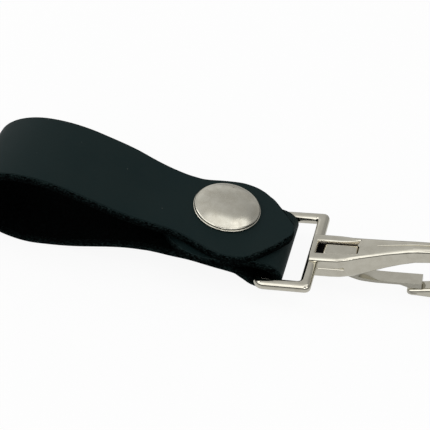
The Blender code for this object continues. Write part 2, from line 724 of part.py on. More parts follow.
def box_cutter(name, low, high, parent):
    """A box cutter between two corners in its parent's frame."""
    bm = bmesh.new()
    bmesh.ops.create_cube(bm, size=1)
    size = Vector(high) - Vector(low)
    middle = (Vector(high) + Vector(low)) / 2
    bmesh.ops.transform(bm, matrix=Matrix.Translation(middle) @ Matrix.Diagonal((*size, 1)), verts=bm.verts)
    return mesh_object(name, bm, parent=parent, cutter=True)


def side_plate(name, outline, half_width, parent, cutter=False):
    """A plate whose outline lies in the hook's own (along, up) plane."""
    plate = flat_outline(name, [outline], half_width, parent=parent, cutter=cutter)
    plate.rotation_euler = (math.radians(90), 0, 0)
    return mesh_from_curve(plate)


def across_plug(name, radius, near, far, place, parent, **options):
    """A round pin or hole along the hook's width, at a place (along, up)."""
    pin = plug(name, radius, near, far, parent=parent, **options)
    pin.location = (place[0], 0, place[1])
    pin.rotation_euler = (math.radians(-90), 0, 0)
    return pin


POCKET_END = POCKET_START + POCKET_LENGTH
POCKET_HALF_WIDTH = GATE_WIDTH / 2 + GATE_SIDE_CLEARANCE
PIN_PLACE = (PIN_REACH, -PIN_DEPTH)
TAIL_TOP = ROOT_TOP - TAIL_SINK
GATE_STOP = NOSE_INNER - NOSE_DROP * (ARM_END - GATE_ARM_REACH) / NOSE_LENGTH


def placed(shares, start, length, height):
    """Points at shares of a length past a start, and at shares of a height."""
    return [(start + along * length, up * height) for along, up in shares]


def gate_outline():
    """The gate's side view from its heel over the tail plate and along the arm, about the pin."""
    tail_start = POCKET_START + GATE_HEEL_CLEARANCE
    tail_end = POCKET_END - GATE_END_CLEARANCE
    neck = POCKET_END - tail_start
    arm_top = -GATE_ARM_DEPTH
    arm_bottom = arm_top - GATE_ARM_THICKNESS
    tip_bottom = GATE_STOP + GATE_TIP_GAP
    tip_start = GATE_ARM_REACH - GATE_TIP_LENGTH
    land = GATE_ARM_REACH - GATE_TIP_LAND_SHARE * GATE_TIP_LENGTH
    points = [(tail_start, TAIL_TOP), (tail_end, TAIL_TOP), (tail_end, TAIL_TOP - TAIL_THICKNESS)]
    points += placed(GATE_THROAT_SHARES, tail_end, neck, ROOT_BOTTOM)
    points += smooth_outline(placed(GATE_TOP_SHARES, tail_end, neck, arm_top))
    points += [(GATE_ARM_REACH, arm_top), (GATE_ARM_REACH, tip_bottom), (land, tip_bottom)]
    drop = arm_bottom - tip_bottom
    points += smooth_outline([(tip_start + along * GATE_TIP_LENGTH, tip_bottom + up * drop)
                              for along, up in GATE_TIP_SHARES])
    points += smooth_outline(placed(GATE_UNDER_SHARES, tail_end, neck, arm_bottom))
    points += placed(GATE_HEEL_SHARES, tail_start, neck, ROOT_BOTTOM)
    return [(along - PIN_REACH, up + PIN_DEPTH) for along, up in points]


def smooth_outline(points):
    return [tuple(p) for p in smooth_line(points, ROUTE_STEPS)]


def spring_points():
    """A torsion coil round the pin, with a leg on the gate's floor and one to the pocket's end."""
    count = SPRING_TURNS * COIL_POINTS
    start = -SPRING_PITCH * SPRING_TURNS / 2
    coil = []
    for k in range(count + 1):
        turn = k / COIL_POINTS
        angle = math.radians(-90) - turn * math.tau
        coil.append(Vector((SPRING_COIL_RADIUS * math.cos(angle), start + SPRING_PITCH * turn,
                            SPRING_COIL_RADIUS * math.sin(angle))))
    gate_leg = coil[0] + Vector((SPRING_LEG, 0, 0))
    wall_leg = coil[-1] - Vector((PIN_REACH - POCKET_START - SEAT_GAP, 0, 0))
    return [gate_leg] + coil + [wall_leg]


# Pieces

def make_leather():
    lower = strap("strap_lower", lower_run() + fold() + flap(), 2, Vector((0, 0, 0)), material=LEATHER)
    hinge_place = Vector((BAR_X - LOOP_END_REACH, 0, LOOP_MIDDLE))
    hinge = new_empty("loop_hinge", hinge_place)
    upper = strap("strap_upper", upper_run(), 1, hinge_place, parent=hinge, material=LEATHER)
    return lower, upper, hinge, hinge_place


def snap_axes(hinge, hinge_place):
    """The snap's axis twice: once with the upper ply, and once with the fixed plies."""
    place = Vector((BAR_X - SNAP_REACH, SNAP_SIDE_OFFSET, UPPER_HEIGHT))
    moving = new_empty("snap_axis_upper", place - hinge_place, SNAP_TILT, hinge)
    fixed = new_empty("snap_axis_lower", place, SNAP_TILT)
    return moving, fixed


def make_snap(lower, upper, moving, fixed):
    cap = turned("snap_cap", cap_profile(), parent=moving, material=NICKEL)
    socket = turned("snap_socket", socket_profile(), parent=moving, material=NICKEL)
    wire("snap_ring_spring", ring_spring_points(), RING_WIRE_RADIUS, ROUNDING_STEPS,
         parent=moving, material=STEEL)
    stud = turned("snap_stud", stud_profile(), parent=fixed, material=NICKEL)
    post = turned("snap_post", post_profile(), parent=fixed, material=NICKEL)
    for piece in (cap, socket, stud, post):
        smooth(piece)
    cut(upper, turned("socket_seat", socket_seat_profile(), parent=moving, cutter=True))
    cut(lower, turned("stud_seat", stud_seat_profile(), parent=fixed, cutter=True))


def make_frame(axis):
    """The cast frame that the strap goes through, as a ring with rounded bars."""
    low = -STRAP_BAR_WIDTH / 2
    opening_end = STRAP_BAR_WIDTH / 2 + FRAME_OPENING_LENGTH
    half_opening = FRAME_OPENING_WIDTH / 2
    outer = rounded_rectangle(low, opening_end + HOOK_BAR_WIDTH, half_opening + FRAME_SIDE_WIDTH,
                              STRAP_BAR_CORNER, HOOK_BAR_CORNER)
    inner = rounded_rectangle(STRAP_BAR_WIDTH / 2, opening_end, half_opening, FRAME_INNER_CORNER,
                              FRAME_INNER_CORNER)
    ring = flat_outline("frame_ring", [outer, inner], FRAME_THICKNESS / 2, FRAME_ROUNDING,
                        parent=axis, cutter=True)
    return mesh_from_curve(ring)


def make_hook(axis):
    body = loft("hook_body", hook_stations(), parent=axis, material=NICKEL)
    join(body, make_frame(axis))
    pocket = box_cutter("gate_pocket", (POCKET_START, -POCKET_HALF_WIDTH, ROOT_BOTTOM - CUT_OVERRUN),
                        (POCKET_END, POCKET_HALF_WIDTH, CREST_TOP + CUT_OVERRUN), axis)
    cut(body, pocket)
    blind = PIN_WALL - ROOT_WIDTH / 2
    hole = across_plug("pin_hole", PIN_RADIUS + PIN_CLEARANCE, blind, ROOT_WIDTH / 2 + CUT_OVERRUN,
                       PIN_PLACE, axis, cutter=True)
    cut(body, hole)
    return smooth(body, CAST_SHARP_ANGLE)


def make_gate(axis):
    pivot = new_empty("gate_pivot", (PIN_PLACE[0], 0, PIN_PLACE[1]), parent=axis)
    gate = side_plate("gate", gate_outline(), GATE_WIDTH / 2, pivot)
    gate.data.materials.append(NICKEL)
    eye = across_plug("gate_eye", PIN_RADIUS + PIN_CLEARANCE, -ROOT_WIDTH, ROOT_WIDTH, (0.0, 0.0),
                      pivot, cutter=True)
    inside = GATE_WIDTH / 2 - GATE_EAR
    heel = POCKET_START - PIN_REACH
    hollow_end = SPRING_COIL_RADIUS + SPRING_LEG
    hollow_top = TAIL_TOP - TAIL_THICKNESS + PIN_DEPTH
    hollow_floor = -SPRING_COIL_RADIUS - 2 * SPRING_WIRE_RADIUS
    hollow = box_cutter("gate_hollow", (heel, -inside, hollow_floor), (hollow_end, inside, hollow_top), pivot)
    cut(gate, hollow)
    cut(gate, eye)
    return smooth(gate, CAST_SHARP_ANGLE)


def make_pin_and_spring(axis):
    near = PIN_WALL - ROOT_WIDTH / 2 + SEAT_GAP
    far = ROOT_WIDTH / 2 - SEAT_GAP
    pin = across_plug("gate_pin", PIN_RADIUS, near, far, PIN_PLACE, axis, material=STEEL)
    smooth(pin)
    spring = wire("gate_spring", spring_points(), SPRING_WIRE_RADIUS, ROUNDING_STEPS - 1,
                  parent=axis, material=STEEL)
    spring.location = (PIN_PLACE[0], 0, PIN_PLACE[1])


empty_scene()
PARTS = new_collection("leather_key_ring")
CUTTERS = new_collection("cutters")
LEATHER = new_material("black_leather", (0.017, 0.022, 0.021), 0.55, 0.0)
NICKEL = new_material("satin_nickel", (0.62, 0.60, 0.55), 0.24, 1.0)
STEEL = new_material("spring_steel", (0.45, 0.45, 0.46), 0.30, 1.0)


def main():
    lower, upper, hinge, hinge_place = make_leather()
    moving, fixed = snap_axes(hinge, hinge_place)
    make_snap(lower, upper, moving, fixed)
    hook_axis = new_empty("hook_axis", (BAR_X, 0, BAR_HEIGHT), -HOOK_TILT)
    make_hook(hook_axis)
    make_gate(hook_axis)
    make_pin_and_spring(hook_axis)


main()
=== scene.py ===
# %% [markdown]
# A belt-loop key ring in leather and nickel. The measured parts are loaded first: they are the
# frame that every finished piece is hung on, so the pose and the size stay those of the solids.

import json
import math

import bpy
from mathutils import Matrix, Vector

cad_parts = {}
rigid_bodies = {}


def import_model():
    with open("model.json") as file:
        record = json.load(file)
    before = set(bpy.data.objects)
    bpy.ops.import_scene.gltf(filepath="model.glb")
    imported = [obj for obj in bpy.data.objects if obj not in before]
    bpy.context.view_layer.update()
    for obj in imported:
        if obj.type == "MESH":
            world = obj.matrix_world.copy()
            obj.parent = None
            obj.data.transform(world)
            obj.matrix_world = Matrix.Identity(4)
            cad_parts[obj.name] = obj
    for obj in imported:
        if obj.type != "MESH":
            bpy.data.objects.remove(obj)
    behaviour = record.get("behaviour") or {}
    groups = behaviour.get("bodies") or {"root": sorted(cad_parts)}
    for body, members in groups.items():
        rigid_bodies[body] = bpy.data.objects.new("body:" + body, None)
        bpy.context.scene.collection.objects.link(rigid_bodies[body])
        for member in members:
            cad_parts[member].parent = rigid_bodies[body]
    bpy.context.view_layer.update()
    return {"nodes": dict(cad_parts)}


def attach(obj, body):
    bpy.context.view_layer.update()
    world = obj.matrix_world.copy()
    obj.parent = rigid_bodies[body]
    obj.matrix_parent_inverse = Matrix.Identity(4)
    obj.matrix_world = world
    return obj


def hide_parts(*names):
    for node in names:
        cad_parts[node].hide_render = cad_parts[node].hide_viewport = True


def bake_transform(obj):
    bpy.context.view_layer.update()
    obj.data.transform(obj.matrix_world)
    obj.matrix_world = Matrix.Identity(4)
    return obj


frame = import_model()

# %% [markdown]
# The picture was taken from close by with a moderately long lens, so lines that run away from
# the viewer draw together. The camera's place and turn were worked out from the corners of the
# metal frame, the ellipse of the snap's cap and the outline of the strap.

# %% Set up the camera
MM = 0.001
BAR_X = 12.417
PICTURE_WIDTH = 430
FOCAL_PIXELS = 1090.4
SENSOR_WIDTH = 36
CAMERA_PLACE = Vector((26.361 + BAR_X, -169.072, 168.213)) * MM
CAMERA_AZIMUTH = math.radians(12.881)
CAMERA_ELEVATION = math.radians(42.342)
CAMERA_ROLL = math.radians(2.995)


def camera_turn():
    """The camera's axes in the world, as the columns of a turn."""
    across = Vector((math.cos(CAMERA_AZIMUTH), math.sin(CAMERA_AZIMUTH), 0))
    level = Vector((-math.sin(CAMERA_AZIMUTH), math.cos(CAMERA_AZIMUTH), 0))
    ahead = level * math.cos(CAMERA_ELEVATION) - Vector((0, 0, math.sin(CAMERA_ELEVATION)))
    upward = across.cross(ahead)
    right = across * math.cos(CAMERA_ROLL) + upward * math.sin(CAMERA_ROLL)
    top = upward * math.cos(CAMERA_ROLL) - across * math.sin(CAMERA_ROLL)
    return Matrix((right, top, -ahead)).transposed()


bpy.ops.object.camera_add(location=CAMERA_PLACE, rotation=camera_turn().to_euler())
camera = bpy.context.object
camera.name = "camera"
camera.data.sensor_width = SENSOR_WIDTH
camera.data.sensor_fit = "HORIZONTAL"
camera.data.lens = FOCAL_PIXELS / PICTURE_WIDTH * SENSOR_WIDTH
camera.data.clip_start = 0.01
bpy.context.scene.camera = camera
bpy.context.scene.view_settings.view_transform = "Standard"
print("lens", round(camera.data.lens, 2), "mm")

# %% [markdown]
# Every finish below is a small network of shader nodes. Small helpers keep them readable: they
# add a node and join its inputs, do a sum, make a noise at a chosen grain size, stretch a value
# to another range, mix two colours, and turn a noise into a bump.

# %% Helpers for the finishes


def new_finish(name):
    """An empty material with one shader, its node tree and the shader."""
    material = bpy.data.materials.new(name)
    material.use_nodes = True
    return material, material.node_tree, material.node_tree.nodes["Principled BSDF"]


def add_node(tree, kind, settings=None, **inputs):
    """A node with its settings, and each input either joined to a socket or set to a value."""
    node = tree.nodes.new(kind)
    for key, value in (settings or {}).items():
        setattr(node, key, value)
    for key, value in inputs.items():
        by_number = key[0] == "i" and key[1:].isdigit()
        socket = node.inputs[int(key[1:]) if by_number else key.replace("_", " ")]
        if isinstance(value, bpy.types.NodeSocket):
            tree.links.new(value, socket)
        else:
            socket.default_value = value
    return node


def place_on_piece(tree, stretch=(1, 1, 1), turn=(0, 0, 0)):
    """The piece's own coordinates, in metres, stretched and turned for a pattern."""
    coordinates = add_node(tree, "ShaderNodeTexCoord")
    mapping = add_node(tree, "ShaderNodeMapping", Vector=coordinates.outputs["Object"], Scale=stretch,
                       Rotation=turn)
    return mapping.outputs["Vector"]


def maths(tree, operation, *values):
    """The outcome of a sum whose parts are sockets or numbers."""
    inputs = {f"i{k}": value for k, value in enumerate(values)}
    return add_node(tree, "ShaderNodeMath", {"operation": operation}, **inputs).outputs[0]


def noise(tree, place, grain_mm, detail=4.0, roughness=0.55, distortion=0.0):
    """A cloudy pattern whose lumps are about this many millimetres across."""
    node = add_node(tree, "ShaderNodeTexNoise", Vector=place, Scale=1000 / grain_mm, Detail=detail,
                    Roughness=roughness, Distortion=distortion)
    return node.outputs["Fac"]


def band(tree, value, low, high, to_low, to_high):
    """The value stretched from one range to another, and held at its ends."""
    node = add_node(tree, "ShaderNodeMapRange", i0=value, i1=low, i2=high, i3=to_low, i4=to_high)
    return node.outputs["Result"]


def blend_colours(tree, share, first, second):
    """A mix of two colours by a share."""
    node = add_node(tree, "ShaderNodeMix", {"data_type": "RGBA"}, i0=share, i6=first, i7=second)
    return node.outputs[2]


def bump(tree, height, depth_mm, strength=1.0, below=None):
    """A bump from a height of 0 to 1 that stands for so many millimetres."""
    node = add_node(tree, "ShaderNodeBump", Height=height, Distance=depth_mm * MM, Strength=strength)
    if below is not None:
        tree.links.new(below, node.inputs["Normal"])
    return node.outputs["Normal"]


print("helpers ready")

# %% [markdown]
# The leather is smooth black hide with a touch of green in it. Its face has a fine grain, a few
# paler specks of dust and a soft sheen that is not quite even. The grain is two noises laid one
# over the other as a bump, and the sheen comes from a third one that drives the roughness.

# %% Leather, face
HIDE_DARK = (0.0062, 0.0153, 0.0160, 1)
HIDE_PALE = (0.0094, 0.0183, 0.0182, 1)
HIDE_CREASE = (0.0095, 0.0175, 0.0175, 1)
DUST_COLOUR = (0.075, 0.085, 0.075, 1)
CLOUD_SIZE, CREASE_SIZE, PORE_SIZE = 14.0, 1.6, 0.35
CREASE_DEPTH, PORE_DEPTH = 0.030, 0.016
SPECKS_PER_METRE = 520.0
SPECK_PATCH_SIZE = 5.0
FACE_ROUGHNESS = (0.50, 0.58)
FACE_SHEEN = 0.09
SHEEN_TINT = (0.80, 1.0, 0.98, 1)
leather_face, tree, shader = new_finish("leather_face")
grain_place = place_on_piece(tree)
clouds = noise(tree, grain_place, CLOUD_SIZE, detail=3.0)
pores = noise(tree, grain_place, PORE_SIZE, detail=5.0, roughness=0.6)
creases = noise(tree, grain_place, CREASE_SIZE, detail=6.0, roughness=0.62, distortion=0.6)
specks = add_node(tree, "ShaderNodeTexVoronoi", Vector=grain_place, Scale=SPECKS_PER_METRE)
speck = band(tree, specks.outputs["Distance"], 0.04, 0.09, 1.0, 0.0)
speck_here = band(tree, noise(tree, grain_place, SPECK_PATCH_SIZE, detail=1.0), 0.60, 0.66, 0.0, 1.0)
hide = blend_colours(tree, band(tree, clouds, 0.35, 0.68, 0.0, 1.0), HIDE_DARK, HIDE_PALE)
hide = blend_colours(tree, band(tree, creases, 0.45, 0.75, 0.0, 0.5), hide, HIDE_CREASE)
hide = blend_colours(tree, maths(tree, "MULTIPLY", speck, speck_here), hide, DUST_COLOUR)
tree.links.new(hide, shader.inputs["Base Color"])
tree.links.new(band(tree, clouds, 0.3, 0.7, *FACE_ROUGHNESS), shader.inputs["Roughness"])
shader.inputs["Specular IOR Level"].default_value = FACE_SHEEN
shader.inputs["Specular Tint"].default_value = SHEEN_TINT
face_bump = bump(tree, creases, CREASE_DEPTH, 0.5)
face_bump = bump(tree, pores, PORE_DEPTH, 0.7, face_bump)
tree.links.new(face_bump, shader.inputs["Normal"])
print("face finish:", len(tree.nodes), "nodes")

# %% [markdown]
# The cut edges are raw. Fibres show there as short pale strands on a black ground. They fade
# raggedly from the smooth face towards the flesh side, so the edge is darker towards the flesh side;
# their strength follows how far through the leather a point lies, shaken by the same noise. Their
# bump is far deeper than on the face.

# %% Leather, cut edge and flesh side
EDGE_COLOURS = ((0.0001, 0.0002, 0.0002, 1), (0.0050, 0.0100, 0.0100, 1), (0.020, 0.033, 0.032, 1))
# The flesh side is near black: partly the flesh's own dark colour, partly painted shade for the shaded
# inside of the loop.
FLESH_AND_SHADE_COLOURS = ((0.0003, 0.0005, 0.0004, 1), (0.0009, 0.0014, 0.0012, 1), (0.003, 0.004, 0.004, 1))
STRAND_SIZE, TUFT_SIZE = 0.65, 0.40
STRAND_STRETCH = (0.6, 1.0, 1.3)
RAGGED = 0.9
THIN_FROM, THIN_TO = 0.35, 0.90
RAW_ROUGHNESS = 0.85
RAW_SHEEN = 0.01


def fibrous(name, colours, strand_depth, fading):
    """Raw leather: dark ground, paler strands and a few pale tufts, fading towards the flesh."""
    deep, pale, tuft = colours
    material, tree, shader = new_finish(name)
    through = add_node(tree, "ShaderNodeAttribute", {"attribute_name": "through"})
    stretched = place_on_piece(tree, stretch=STRAND_STRETCH)
    strands = noise(tree, stretched, STRAND_SIZE, detail=6.0, roughness=0.7)
    tufts = noise(tree, place_on_piece(tree), TUFT_SIZE, detail=3.0, roughness=0.6)
    ragged = maths(tree, "MULTIPLY_ADD", strands, RAGGED, through.outputs["Fac"])
    light = band(tree, ragged, THIN_FROM + RAGGED / 2, THIN_TO + RAGGED / 2, 1.0 - fading, 1.0)
    strand = maths(tree, "MULTIPLY", light, band(tree, strands, 0.47, 0.54, 0.0, 1.0))
    speck = maths(tree, "MULTIPLY", light, band(tree, tufts, 0.53, 0.58, 0.0, 0.9))
    ground = blend_colours(tree, strand, deep, pale)
    ground = blend_colours(tree, speck, ground, tuft)
    tree.links.new(ground, shader.inputs["Base Color"])
    shader.inputs["Roughness"].default_value = RAW_ROUGHNESS
    shader.inputs["Specular IOR Level"].default_value = RAW_SHEEN
    skin = bump(tree, strands, strand_depth, 0.8)
    skin = bump(tree, tufts, strand_depth / 2, 0.8, skin)
    tree.links.new(skin, shader.inputs["Normal"])
    return material


leather_edge = fibrous("leather_cut_edge", EDGE_COLOURS, strand_depth=0.30, fading=0.80)
leather_flesh_and_shade = fibrous("leather_flesh_side_and_painted_shade", FLESH_AND_SHADE_COLOURS, strand_depth=0.06, fading=0.0)
print("edge and flesh ready")

# %% [markdown]
# The strap's route is seen from the side: from the tip of the upper head, over the belt loop and
# round its far end, back under it, round the frame's bar, and out again to the flap's head. Its
# points are in millimetres from the bar's axis, and a smooth line is drawn through them.

# %% Route of the strap
LEATHER = 2.0
LOOP_X = -52.0
LOOP_DEPTH = 13.4
LOOP_RISE = 8.6
LOOP_Z = 9.6
SNAP_X = -10.4
SNAP_TILT = math.radians(6.2)
SNAP_SLOPE = math.tan(SNAP_TILT)
UPPER_Z = 9.6
LOWER_Z = 4.85
LOWER_HUMP = 4.57
UPPER_FLAT = 13.0
LOWER_FLAT = 9.8
STACK = 2.3
FOLD_Z = 3.87
FOLD_RISE = 2.65
FOLD_DEPTH = 3.65
FOLD_X = 0.2
HEAD = 15.5
HEAD_TIP_SHARES = ((1.05, 0.22), (0.80, 0.32), (0.60, 0.36))
UPPER_RUN_SHARES = ((0.930, 0.131), (0.831, 0.199), (0.732, 0.287), (0.634, 0.404), (0.535, 0.544),
                    (0.437, 0.672), (0.338, 0.79), (0.237, 0.90), (0.118, 0.98))
LOWER_RUN_SHARES = ((0.113, 0.10), (0.226, 0.252), (0.324, 0.427), (0.418, 0.628), (0.512, 0.814),
                    (0.607, 0.941), (0.701, 0.996), (0.795, 0.996), (0.890, 0.967))
APPROACH_SHARES = ((0.38, 0.28), (0.70, 0.66))
FLAP_ROUTE_SHARE = 1.1
FLAP_SWELL = 0.15
FOLD_FROM, FOLD_TO = -120, 86
LOOP_POINTS, FOLD_POINTS = 13, 9
ROUTE_STEPS = 8


def arc(centre_x, centre_z, half_length, half_height, first, last, count):
    """Points on an ellipse between two angles in degrees."""
    points = []
    for k in range(count):
        angle = math.radians(first + (last - first) * k / (count - 1))
        points.append((centre_x + half_length * math.cos(angle),
                       centre_z + half_height * math.sin(angle)))
    return points


def flat_at_snap(height, length):
    """The straight stretch at the snap, from the loop's side to the bar's side."""
    rise = length / 2 * SNAP_SLOPE
    return [(SNAP_X - length / 2, height + rise), (SNAP_X, height), (SNAP_X + length / 2, height - rise)]


def run_to_snap(shares, start_height, end_height, flat_length):
    """A ply between the middle of the loop and its straight stretch at the snap."""
    length = SNAP_X - flat_length / 2 - LOOP_X
    rise = end_height - start_height
    return [(LOOP_X + along * length, start_height + up * rise) for along, up in shares]


def smooth_line(points, steps):
    """A smooth line through every point, in steps between neighbours."""
    before = (2 * points[0][0] - points[1][0], 2 * points[0][1] - points[1][1])
    after = (2 * points[-1][0] - points[-2][0], 2 * points[-1][1] - points[-2][1])
    ends = [Vector(p) for p in [before, *points, after]]
    line = []
    for a, b, c, d in zip(ends, ends[1:], ends[2:], ends[3:]):
        for k in range(steps):
            t = k / steps
            squared, cubed = (2 * a - 5 * b + 4 * c - d) * t * t, (3 * b - a - 3 * c + d) * t ** 3
            line.append((2 * b + (c - a) * t + squared + cubed) / 2)
    line.append(ends[-2])
    return line


upper_run = [(SNAP_X + along * HEAD, UPPER_Z - drop * LEATHER) for along, drop in HEAD_TIP_SHARES]
upper_run += reversed(flat_at_snap(UPPER_Z, UPPER_FLAT))
upper_run += run_to_snap(UPPER_RUN_SHARES, UPPER_Z, LOOP_Z + LOOP_RISE, UPPER_FLAT)
loop_end = arc(LOOP_X, LOOP_Z, LOOP_DEPTH, LOOP_RISE, 90, 270, LOOP_POINTS)
lower_run = run_to_snap(LOWER_RUN_SHARES, LEATHER / 2, LEATHER / 2 + LOWER_HUMP, LOWER_FLAT)
lower_run += flat_at_snap(LOWER_Z, LOWER_FLAT)
turn_start = arc(FOLD_X, FOLD_Z, FOLD_DEPTH, FOLD_RISE, FOLD_FROM, FOLD_TO, FOLD_POINTS)
last = lower_run[-1]
approach = [(last[0] + a * (turn_start[0][0] - last[0]), last[1] + b * (turn_start[0][1] - last[1]))
            for a, b in APPROACH_SHARES]
flap_end = SNAP_X - FLAP_ROUTE_SHARE * HEAD
flap_run = [(x, z + STACK) for x, z in reversed(lower_run) if x >= flap_end]
swell = (flap_run[0][0] / 2, (flap_run[0][1] + turn_start[-1][1]) / 2 + FLAP_SWELL)
whole_run = upper_run + loop_end + lower_run + approach + turn_start + [swell] + flap_run
route = smooth_line(whole_run, ROUTE_STEPS)
marks = [0.0]
for here, there in zip(route, route[1:]):
    marks.append(marks[-1] + (there - here).length)
print("route", len(route), "points,", round(marks[-1], 1), "mm")

# %% [markdown]
# Where the snap's axis crosses the route is where the two heads are centred. Each crossing is
# found along the line, because the outline of the blank is measured from it.

# %% Crossings of the snap's axis


def crossings(reach):
    """The distances along the route at which it crosses an upright line."""
    found = []
    for k in range(1, len(route)):
        a, b = route[k - 1][0] - reach, route[k][0] - reach
        if a <= 0 < b or b <= 0 < a:
            found.append(marks[k - 1] + (marks[k] - marks[k - 1]) * a / (a - b))
    return found


UPPER_SNAP, LOWER_SNAP, FLAP_SNAP = crossings(SNAP_X)
print("snap crossings", [round(v, 1) for v in (UPPER_SNAP, LOWER_SNAP, FLAP_SNAP)])

# %% [markdown]
# The strap is cut from a flat sheet, so it is modelled flat and bent afterwards, as the real one
# is. A grid gives it rows across and columns along. Each row is set to the strap's width at its
# place, and the rows of the two heads are bowed out more and more towards a rounded tip.

# %% Shape the flat blank
HEAD_EDGE = ((-10.1, 9.0), (-7.6, 9.19), (-5.6, 9.67), (-2.8, 10.62), (0.4, 11.48), (2.3, 11.7),
             (4.65, 11.47), (6.7, 10.7), (7.9, 9.9), (9.5, 8.66), (11.1, 6.84), (12.5, 5.27),
             (13.95, 3.51))
BAND_HALF = 10.2
WAIST_HALF = 9.55
NECK_HALF = 9.0
SIDE_OFFSET = 0.25
NARROWING = ((26.0, 0.0), (22.6, 0.10), (19.1, 0.38), (15.6, 0.68), (12.1, 0.93))
BAND_FROM_SNAP = 32.0
EDGE_STEPS = 12
ROW = 0.6
HEAD_ROWS = 22
COLUMNS = 20
BOW_START = 2.3
LAST_ROW = HEAD_EDGE[-1][0]


def select_only(thing):
    """Deselects everything else and makes this the active object."""
    if bpy.context.object and bpy.context.object.mode != "OBJECT":
        bpy.ops.object.mode_set(mode="OBJECT")
    bpy.ops.object.select_all(action="DESELECT")
    thing.select_set(True)
    bpy.context.view_layer.objects.active = thing


def edge_line():
    """The half width of the strap along its length, as a smooth line."""
    points = [(UPPER_SNAP - along, half) for along, half in reversed(HEAD_EDGE)]
    points += [(UPPER_SNAP + along, BAND_HALF + narrow * (NECK_HALF - BAND_HALF))
               for along, narrow in reversed(NARROWING)]
    points += [(UPPER_SNAP + BAND_FROM_SNAP, BAND_HALF), (LOWER_SNAP - BAND_FROM_SNAP, BAND_HALF)]
    points += [(LOWER_SNAP - along, BAND_HALF + narrow * (WAIST_HALF - BAND_HALF))
               for along, narrow in NARROWING]
    points += [(LOWER_SNAP + LOWER_FLAT / 2, WAIST_HALF), (LOWER_SNAP - SNAP_X, NECK_HALF)]
    points += [(FLAP_SNAP + along, half) for along, half in HEAD_EDGE]
    return smooth_line(points, EDGE_STEPS)


def half_width(edge, place):
    """The half width at a place along the strap."""
    for here, there in zip(edge, edge[1:]):
        if place <= there[0]:
            share = max(0.0, (place - here[0]) / max(there[0] - here[0], 1e-9))
            return here[1] + (there[1] - here[1]) * share
    return edge[-1][1]


def row_places():
    """The rows' places along the strap, and how far each is bowed: left for less, right for more."""
    left, right = UPPER_SNAP - BOW_START, FLAP_SNAP + BOW_START
    count = round((right - left) / ROW)
    bow = HEAD - LAST_ROW
    rows = []
    for k in range(HEAD_ROWS, 0, -1):
        rows.append((left - (LAST_ROW - BOW_START) * k / HEAD_ROWS, -bow * (k / HEAD_ROWS) ** 2))
    rows += [(left + (right - left) * k / count, 0.0) for k in range(count + 1)]
    for k in range(1, HEAD_ROWS + 1):
        rows.append((right + (LAST_ROW - BOW_START) * k / HEAD_ROWS, bow * (k / HEAD_ROWS) ** 2))
    return rows


rows = row_places()
edge = edge_line()
bpy.ops.object.select_all(action="DESELECT")
bpy.ops.mesh.primitive_grid_add(x_subdivisions=len(rows) - 1, y_subdivisions=COLUMNS, size=1)
strap = bpy.context.object
strap.name = "leather_strap"
for vertex in strap.data.vertices:
    place, bow = rows[round((vertex.co.x + 0.5) * (len(rows) - 1))]
    across = math.sin(vertex.co.y * math.pi)
    side = across * half_width(edge, place) - SIDE_OFFSET
    vertex.co = Vector((place + bow * (1 - across ** 2), side, 0)) * MM
lengths = [vertex.co.x / MM for vertex in strap.data.vertices]
flat_length = round(max(lengths) - min(lengths), 1)
print(len(rows), "rows,", len(strap.data.polygons), "faces,", flat_length, "mm long")

# %% [markdown]
# Solidify gives the sheet its thickness to both sides, and a Bevel rounds the corners a little,
# because a knife leaves them crisp and wear softens them.

# %% Give the blank its thickness
CORNER = 0.22


def apply_modifier(thing, kind, **settings):
    """Adds one modifier, sets it and applies it."""
    select_only(thing)
    modifier = thing.modifiers.new(kind.lower(), kind)
    for key, value in settings.items():
        setattr(modifier, key, value)
    bpy.ops.object.modifier_apply(modifier=modifier.name)


apply_modifier(strap, "SOLIDIFY", thickness=LEATHER * MM, offset=0)
apply_modifier(strap, "BEVEL", width=CORNER * MM, segments=3, limit_method="ANGLE",
               angle_limit=math.radians(50), use_clamp_overlap=False)
print("blank", len(strap.data.polygons), "faces")

# %% [markdown]
# Three finishes meet on the strap: the smooth face outside the loop, the rough flesh side inside
# it, whose near-black colour is partly painted shade for the loop's shaded inside, and raw fibres on
# the cut edge. Each face of the mesh is given one of them by the way it points while the blank is flat.

# %% Give the two sides and the cut edge their finishes
EDGE_LEAN = 0.6
through = strap.data.attributes.new("through", "FLOAT", "POINT")
for vertex, value in zip(strap.data.vertices, through.data):
    value.value = 0.5 + vertex.co.z / MM / LEATHER
for finish in (leather_face, leather_flesh_and_shade, leather_edge):
    strap.data.materials.append(finish)
for face in strap.data.polygons:
    if abs(face.normal.z) < EDGE_LEAN:
        face.material_index = 2
    else:
        face.material_index = 0 if face.normal.z > 0 else 1
print("cut-edge faces", sum(face.material_index == 2 for face in strap.data.polygons))

# %% [markdown]
# The snap lifts the upper part of the loop off the lower part, so the strap has to bend at its
# far end while its fold round the bar stays still. It is divided under the loop, where it runs
# nearly straight and the two pieces meet edge to edge, and each end is closed with a face.

# %% Divide the blank under the loop
DIVIDE_X = -44.0
DIVIDE = crossings(DIVIDE_X)[1]
select_only(strap)
bpy.ops.object.mode_set(mode="EDIT")
bpy.ops.mesh.select_all(action="DESELECT")
bpy.ops.object.mode_set(mode="OBJECT")
for face in strap.data.polygons:
    face.select = face.center.x > DIVIDE * MM
bpy.ops.object.mode_set(mode="EDIT")
bpy.ops.mesh.separate(type="SELECTED")
bpy.ops.object.mode_set(mode="OBJECT")
lower_leather = next(o for o in bpy.context.selected_objects if o is not strap)
upper_leather = strap
upper_leather.name = "leather_belt_loop"
lower_leather.name = "leather_fold_and_flap"


def close_ends(thing):
    """Fills every open border with a face."""
    select_only(thing)
    bpy.ops.object.mode_set(mode="EDIT")
    bpy.ops.mesh.select_mode(type="EDGE")
    bpy.ops.mesh.select_all(action="DESELECT")
    bpy.ops.mesh.select_non_manifold()
    bpy.ops.mesh.edge_face_add()
    bpy.ops.mesh.select_mode(type="VERT")
    bpy.ops.object.mode_set(mode="OBJECT")


